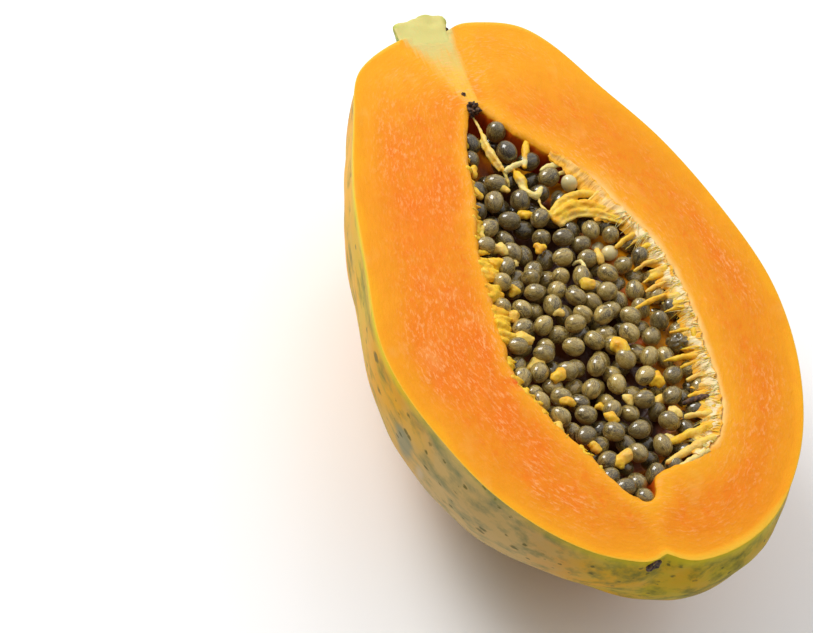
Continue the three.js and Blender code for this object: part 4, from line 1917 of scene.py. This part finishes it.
@dataclass
class Funicles:
    """Soft yellow lobes of the stalks that held the seeds, scattered between them, and tufts on the lip.

    A lobe's body has a place along its length and a radius at each point, as shares of its length and width.
    The tufts grow on the left lip.
    """

    cavity: Cavity
    seed: int = 21
    stray_count: int = 12
    stray_x: Span = (-22, 24)
    stray_y: Span = (-70, 50)
    stray_inset: float = 5.0
    stray_size: Span = (1.8, 3.2)
    stray_below: Span = (2.6, 5.5)
    stray_pale: Span = (0, 0.5)
    tuft_span: Span = (50.0, -70.0)
    tuft_step: float = 0.5
    tufts: Fringe = Fringe(
        count=130, stations=(2, -2), reach=(2.0, 4.6), lean=(-2.0, 2.0), thick=(0.7, 1.35), start=(0.6, 2.4),
        pale=(-0.5, 0.2), shares=(0.0, 0.4, 0.75, 1.0), into=-1.5, taper=0.55, further=0.7, sag=1.6,
        size=0.55, lush=0.9, lush_y=-8.0,
    )
    body: tuple[tuple[float, float], ...] = ((-0.5, 0.42), (-0.2, 0.56), (0.2, 0.5), (0.5, 0.36))
    bend: Span = (-0.9, 0.9)
    knob_turn: Span = (0.9, 1.9)
    knob_reach: Span = (0.3, 0.75)
    knob_drop: Span = (0.2, 1.6)
    sunk: float = 1.1
    voxel: float = 0.34
    seed_radius: float = 1.7
    slides: int = 12
    give: float = 0.6
    lobes: tuple[Lobe, ...] = (
        Lobe(-23.1, -8.4, 2.4, 4.2, 2.6), Lobe(-23.3, -18.2, 2.0, 6.2, 4.2),
        Lobe(-18.6, -13.6, 2.4, 4.4, 3.4, 0.25), Lobe(-19.3, -21.7, 2.0, 6.6, 4.0, 0.3),
        Lobe(-13.4, -35.7, 2.2, 4.6, 3.4), Lobe(-15.1, -5.2, 2.6, 4.0, 2.8),
        Lobe(-5.6, -13.4, 2.8, 4.2, 2.4, 0.4), Lobe(6.4, -6.1, 1.8, 4.6, 3.4, 0.2),
        Lobe(7.8, -30.2, 1.6, 5.4, 4.4), Lobe(-14.5, -42.5, 2.2, 4.2, 2.6),
        Lobe(-3.6, -50.2, 2.0, 3.4, 3.0), Lobe(3.3, -46.6, 2.4, 3.4, 2.4, 0.4),
        Lobe(13.7, -41.8, 2.4, 4.6, 3.4, 0.0), Lobe(-13.3, -57.5, 2.0, 5.4, 2.8),
        Lobe(-3.6, -63.9, 1.9, 3.8, 3.6, 0.3), Lobe(-8.5, -64.5, 2.2, 3.4, 2.8),
        Lobe(-20.3, -51.4, 1.6, 6.0, 3.2, 0.3), Lobe(14.4, -53.2, 2.0, 3.8, 3.2, 0.45),
        Lobe(-17.5, 4.2, 2.0, 6.0, 3.2, 0.1), Lobe(-11.8, 38.4, 1.8, 4.2, 2.6),
        Lobe(-14.3, 30.6, 1.8, 5.4, 2.6), Lobe(-18.2, 16.1, 1.8, 6.6, 2.2, 0.35),
    )

    def build(self, middles: Sequence[Vector]) -> list[tuple[Vector, float]]:
        """Builds the lobes and the tufts.

        Args:
            middles: The middles of the seeds that are in place already; lobes give way to them.

        Returns:
            The places and radii of what the lobes take up.
        """
        cut = self.cavity.cut
        luck = np.random.default_rng(self.seed)
        cords = []
        taken = []
        for lobe in (*self.lobes, *self.strays(luck)):
            middle = self.give_way(cut.place(lobe.x, lobe.y, lobe.below), lobe.width / 2, middles)
            cords += self.curl(lobe, middle, luck)
            taken.append((middle, lobe.width * 0.25))
        tufts = self.tufts.grow(self.cavity.lip(-1, *self.tuft_span, self.tuft_step), luck)
        for name, runs in (("papaya_funicle_lobes", cords), ("papaya_placental_tufts", tufts)):
            piece = lay_cords(cut, runs, name, 2)
            melt(piece, self.voxel)
            hand_over(piece, Placenta().material(), "placenta")
        return taken

    def curl(self, lobe: Lobe, middle: Vector, luck: Luck) -> list[Cord]:
        """Turns a lobe into a short, fat, bent strand with side knobs, rooted between the seeds.

        Args:
            lobe: The lobe.
            middle: Where its middle lies, in metres.
            luck: Turns and bends it.

        Returns:
            The strand and its knobs.
        """
        turn, bend = luck.uniform(0, math.tau), luck.uniform(*self.bend)
        x, y = middle.x / MM, middle.y / MM
        below = self.cavity.cut.depth(middle) + self.sunk
        run = []
        for share, thick in self.body:
            angle = turn + bend * share * 2
            spot = (x + lobe.length * share * math.cos(angle), y + lobe.length * share * math.sin(angle))
            run.append((*spot, below + 4.0 * share**2 + luck.uniform(-0.3, 0.3), lobe.width * thick))
        cords = [Cord(tuple(run), lobe.pale)]
        for side in (-1, 1):
            angle = turn + side * luck.uniform(*self.knob_turn)
            reach = lobe.width * luck.uniform(*self.knob_reach)
            drop = luck.uniform(*self.knob_drop)
            far = (x + reach * math.cos(angle), y + reach * math.sin(angle), below + drop)
            near = (x, y, below, lobe.width * 0.4)
            half = tuple((one + other) / 2 for one, other in zip(near[:3], far))
            cords.append(Cord((near, (*half, lobe.width * 0.36), (*far, lobe.width * 0.28)), lobe.pale))
        return cords

    def strays(self, luck: Luck) -> list[Lobe]:
        """Scatters a few smaller lobes among the seeds.

        Args:
            luck: Gives their places and sizes.

        Returns:
            The lobes.
        """
        lobes = []
        while len(lobes) < self.stray_count:
            x, y = luck.uniform(*zip(self.stray_x, self.stray_y))
            if self.cavity.inset(x, y) > self.stray_inset:
                size = luck.uniform(*self.stray_size)
                below = luck.uniform(*self.stray_below)
                lobes.append(Lobe(x, y, below, size * 1.8, size, luck.uniform(*self.stray_pale)))
        return lobes

    def give_way(self, middle: Vector, radius: float, middles: Sequence[Vector]) -> Vector:
        """Slides a lobe sideways until it only presses lightly on the seeds.

        Args:
            middle: Where the lobe would lie, in metres.
            radius: Its radius in millimetres.
            middles: The middles of the seeds.

        Returns:
            Where the lobe comes to lie.
        """
        place = middle.copy()
        for _ in range(self.slides):
            for other in middles:
                away = place - other
                away.z *= self.give
                short = (self.seed_radius + radius) * MM - away.length
                if short > 0:
                    away.z = 0
                    place += away.normalized() * short * self.give
        return place


@dataclass
class StalkStub:
    """The split stub of the stalk, whose foot runs on into the pale core.

    The foot is where the stub leaves the fruit, in millimetres along it.
    """

    voxel: float = 0.4
    foot: float = 95.2
    sunk: float = 5.0
    core_drop: float = 0.25
    swollen: float = 0.4
    knobs: Waves = (Wave(1.3, 4.6, 1), Wave(0.6, 2.4, 2))

    def build(self) -> None:
        """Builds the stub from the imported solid."""
        piece = copy_node("stalk_stub", "papaya_stalk_stub")
        apply_modifier(piece, "SUBSURF", levels=2, subdivision_type="SIMPLE")
        rows = places(piece)
        base = fade(rows[:, 1] / MM, self.foot, self.foot - 3.0)
        rows[:, 1] -= self.sunk * base * MM
        set_places(piece, rows)
        apply_modifier(piece, "REMESH", mode="VOXEL", voxel_size=self.voxel * MM)
        rows = places(piece)
        free = fade(rows[:, 1] / MM, self.foot - 3.0, self.foot + 1.0)
        flat = np.where(normals(piece)[:, 2] > 0.7, 0.35, 1.0)
        push(piece, (relief(rows, self.knobs) + self.swollen) * free * flat)
        apply_modifier(piece, "SMOOTH", factor=0.5, iterations=14)
        rows = places(piece)
        rows[:, 2] -= self.core_drop * fade(rows[:, 1] / MM, self.foot, self.foot - 5.0) * MM
        set_places(piece, rows)
        x, y = rows[:, 0] / MM, rows[:, 1] / MM
        from_rind = np.minimum(np.minimum(x - x.min(), x.max() - x), y.max() - y)
        from_rind = np.maximum(from_rind, 6.0 * fade(y, self.foot + 1.0, self.foot - 2.0))
        set_field(piece, "from_rind", from_rind * fade(normals(piece)[:, 2], 0.3, 0.8))
        smooth(piece)
        hand_over(piece, StalkWood().material(), "stalk", "stalk_stub")


@dataclass
class DriedBits:
    """Dried black remains: the blossom scar, crumbs on the cut face and a husk on the placenta's margin.

    Crumbs are (x, y, below, size) and the husk is a strand; the scar is given by its place on the skin.
    """

    cut: CutFace
    fruit: Piece
    scar_x: float = -11.8
    scar_below: float = 2.9
    scar_size: Triple = (2.4, 2.1, 0.55)
    scar_knobs: Waves = (Wave(0.42, 1.5, 1), Wave(0.25, 0.7, 2))
    crumbs: tuple[tuple[float, float, float, float], ...] = (
        (-4.0, 60.6, 1.3, 2.1),
        (-5.2, 65.8, 0.35, 0.7),
        (-0.7, 93.6, 0.8, 0.6),
    )
    husk: Cord = Cord(((26.4, -52.4, 1.6, 0.4), (24.4, -50.6, 1.0, 0.9), (20.6, -51.2, 1.8, 1.1),
                       (17.2, -51.4, 3.4, 0.5)))
    husk_voxel: float = 0.3

    def build(self) -> None:
        """Builds the scar, the crumbs and the husk."""
        material = DriedHusk().material()
        hand_over(self.scar(), material, None)
        pieces = [self.crumb(*crumb) for crumb in self.crumbs]
        hand_over(join(pieces, "papaya_dried_crumbs"), material, None)
        husk = lay_cords(self.cut, (self.husk,), "papaya_dried_husk", 4)
        melt(husk, self.husk_voxel)
        hand_over(husk, material, None)

    def ball(self, name: str) -> Piece:
        """Adds a round blank of one metre radius about the origin."""
        return add_object(name, bpy.ops.mesh.primitive_uv_sphere_add, segments=40, ring_count=24, radius=1.0)

    def crumb(self, x: float, y: float, below: float, size: float) -> Piece:
        """Models one spiky crumb.

        Args:
            x: Its place across the fruit, in millimetres.
            y: Its place along the fruit.
            below: How deep it lies.
            size: Its radius.

        Returns:
            The crumb.
        """
        piece = self.ball("crumb")
        piece.data.transform(Matrix.Translation(self.cut.place(x, y, below)) @ Matrix.Scale(size * MM, 4))
        spikes = (Wave(0.6 * size, 0.45 * size, 1), Wave(0.32 * size, 0.22 * size, 2))
        push(piece, relief(places(piece), spikes))
        smooth(piece, 50)
        return piece

    def scar(self) -> Piece:
        """Models the blossom scar as a knobbly ring with a lower middle, set into the skin.

        Returns:
            The scar.
        """
        outside = Vector(self.cut.place(self.scar_x, -100.0, self.scar_below))
        _, place, out, _ = self.fruit.ray_cast(outside, Vector((0, 1, 0)))
        piece = self.ball("papaya_blossom_scar")
        rows = places(piece)
        rows[:, 2] *= 0.55 + 0.75 * fade(np.hypot(rows[:, 0], rows[:, 1]), 0.25, 0.75)
        set_places(piece, rows)
        turn = out.to_track_quat("Z", "X").to_matrix().to_4x4()
        size = Matrix.Diagonal((*(half * MM for half in self.scar_size), 1.0))
        piece.data.transform(Matrix.Translation(place) @ turn @ size)
        push(piece, relief(places(piece), self.scar_knobs))
        smooth(piece, 60)
        return piece


# ---- Studio ----


@dataclass
class Studio:
    """A white table under soft light, and the camera that looks down on the cut face.

    The aim is in millimetres on the cut face, the distance in millimetres, and the angles in degrees. Table
    and softbox are in metres.
    """

    cut: CutFace
    aim: tuple[float, float] = (-50.2, -11.4)
    distance: float = 515.0
    azimuth: float = -32.77
    elevation: float = 50.0
    roll: float = 17.7
    lens: float = 85.0
    table_size: float = 6.0
    softbox_size: float = 0.5
    softbox_place: Triple = (-0.40, 0.62, 0.76)
    softbox_aim: Triple = (0, 0, 0.05)
    softbox_watts: float = 7.8
    surround: Span = (0.13, 1.02)
    surround_span: Span = (0.1, 0.8)
    bright_side: Triple = (0.3, 0.45, 0.84)
    backdrop: float = 0.8

    def build(self) -> None:
        """Sets up the camera, the table and the light."""
        self.camera()
        self.table()
        self.surroundings()
        self.softbox()
        bpy.context.scene.view_settings.view_transform = "Standard"

    def axes(self) -> tuple[Vector, Vector, Vector]:
        """Works out which way the camera is turned.

        Returns:
            Its right, up and backward directions.
        """
        turn, rise, lean = (math.radians(v) for v in (self.azimuth, self.elevation, self.roll))
        back = Vector((math.sin(turn) * math.cos(rise), -math.cos(turn) * math.cos(rise), math.sin(rise)))
        level = Vector((math.cos(turn), math.sin(turn), 0.0))
        upright = back.cross(level)
        right = level * math.cos(lean) + upright * math.sin(lean)
        return right, upright * math.cos(lean) - level * math.sin(lean), back

    def camera(self) -> None:
        """Places the camera."""
        right, up, back = self.axes()
        camera = add_object("camera", bpy.ops.object.camera_add)
        camera.data.lens = self.lens
        camera.data.sensor_width = 36.0
        camera.data.clip_start = 0.01
        turn = Matrix((right, up, back)).transposed().to_4x4()
        camera.matrix_world = Matrix.Translation(self.cut.place(*self.aim) + back * self.distance * MM) @ turn
        bpy.context.scene.camera = camera

    def table(self) -> None:
        """Lays the white table."""
        table = add_object("white_table", bpy.ops.mesh.primitive_plane_add, size=self.table_size)
        mix = Recipe("white gloss laminate")
        shader = mix.node("BsdfPrincipled", {"Base Color": "#F8F8F9", "Roughness": 0.25, "IOR": 1.5})
        mix.node("OutputMaterial", links={"Surface": shader})
        table.data.materials.append(mix.material)

    def surroundings(self) -> None:
        """Puts the table in a white surround that dims towards the front, but shows as one pale tone."""
        world = bpy.data.worlds.new("white studio")
        bpy.context.scene.world = world
        world.use_nodes = True
        tree = world.node_tree
        background = tree.nodes["Background"]
        background.inputs["Color"].default_value = (1, 1, 1, 1)
        toward = add_node(tree, "TexCoord").outputs["Generated"]
        facing = add_node(tree, "VectorMath", {"operation": "DOT_PRODUCT", 1: self.bright_side}, {0: toward})
        names = ("From Min", "From Max", "To Min", "To Max")
        reach = dict(zip(names, (*self.surround_span, *self.surround)))
        level = add_node(tree, "MapRange", reach, {"Value": facing.outputs["Value"]})
        seen = add_node(tree, "LightPath").outputs["Is Camera Ray"]
        level = add_node(tree, "Mix", {"B": self.backdrop}, {"Factor": seen, "A": level})
        tree.links.new(level.outputs[0], background.inputs["Strength"])

    def softbox(self) -> None:
        """Hangs a large softbox behind the fruit's left side."""
        area = {"type": "AREA", "location": self.softbox_place}
        lamp = add_object("key_softbox", bpy.ops.object.light_add, **area)
        lamp.data.size = self.softbox_size
        lamp.data.energy = self.softbox_watts
        lamp.rotation_euler = (Vector(self.softbox_aim) - lamp.location).to_track_quat("-Z", "Y").to_euler()


def main() -> None:
    """Builds the half papaya and its studio."""
    logging.basicConfig(level=logging.INFO, format="%(message)s")
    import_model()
    cut = CutFace(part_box("fruit_half")[1].z)
    Studio(cut).build()
    half = FruitHalf(cut)
    fruit = half.build()
    StalkStub().build()
    DriedBits(cut, fruit).build()

    cavity = Cavity(cut, half.cavity_edge)
    PlacentaBed(cavity).build()
    pile = SeedPile(cavity)
    lumps = Strands(cut).build() + PlacentaMargin(cavity).build()
    lumps += Funicles(cavity).build(pile.packed_middles())
    pile.build(lumps)


if __name__ == "__main__":
    main()
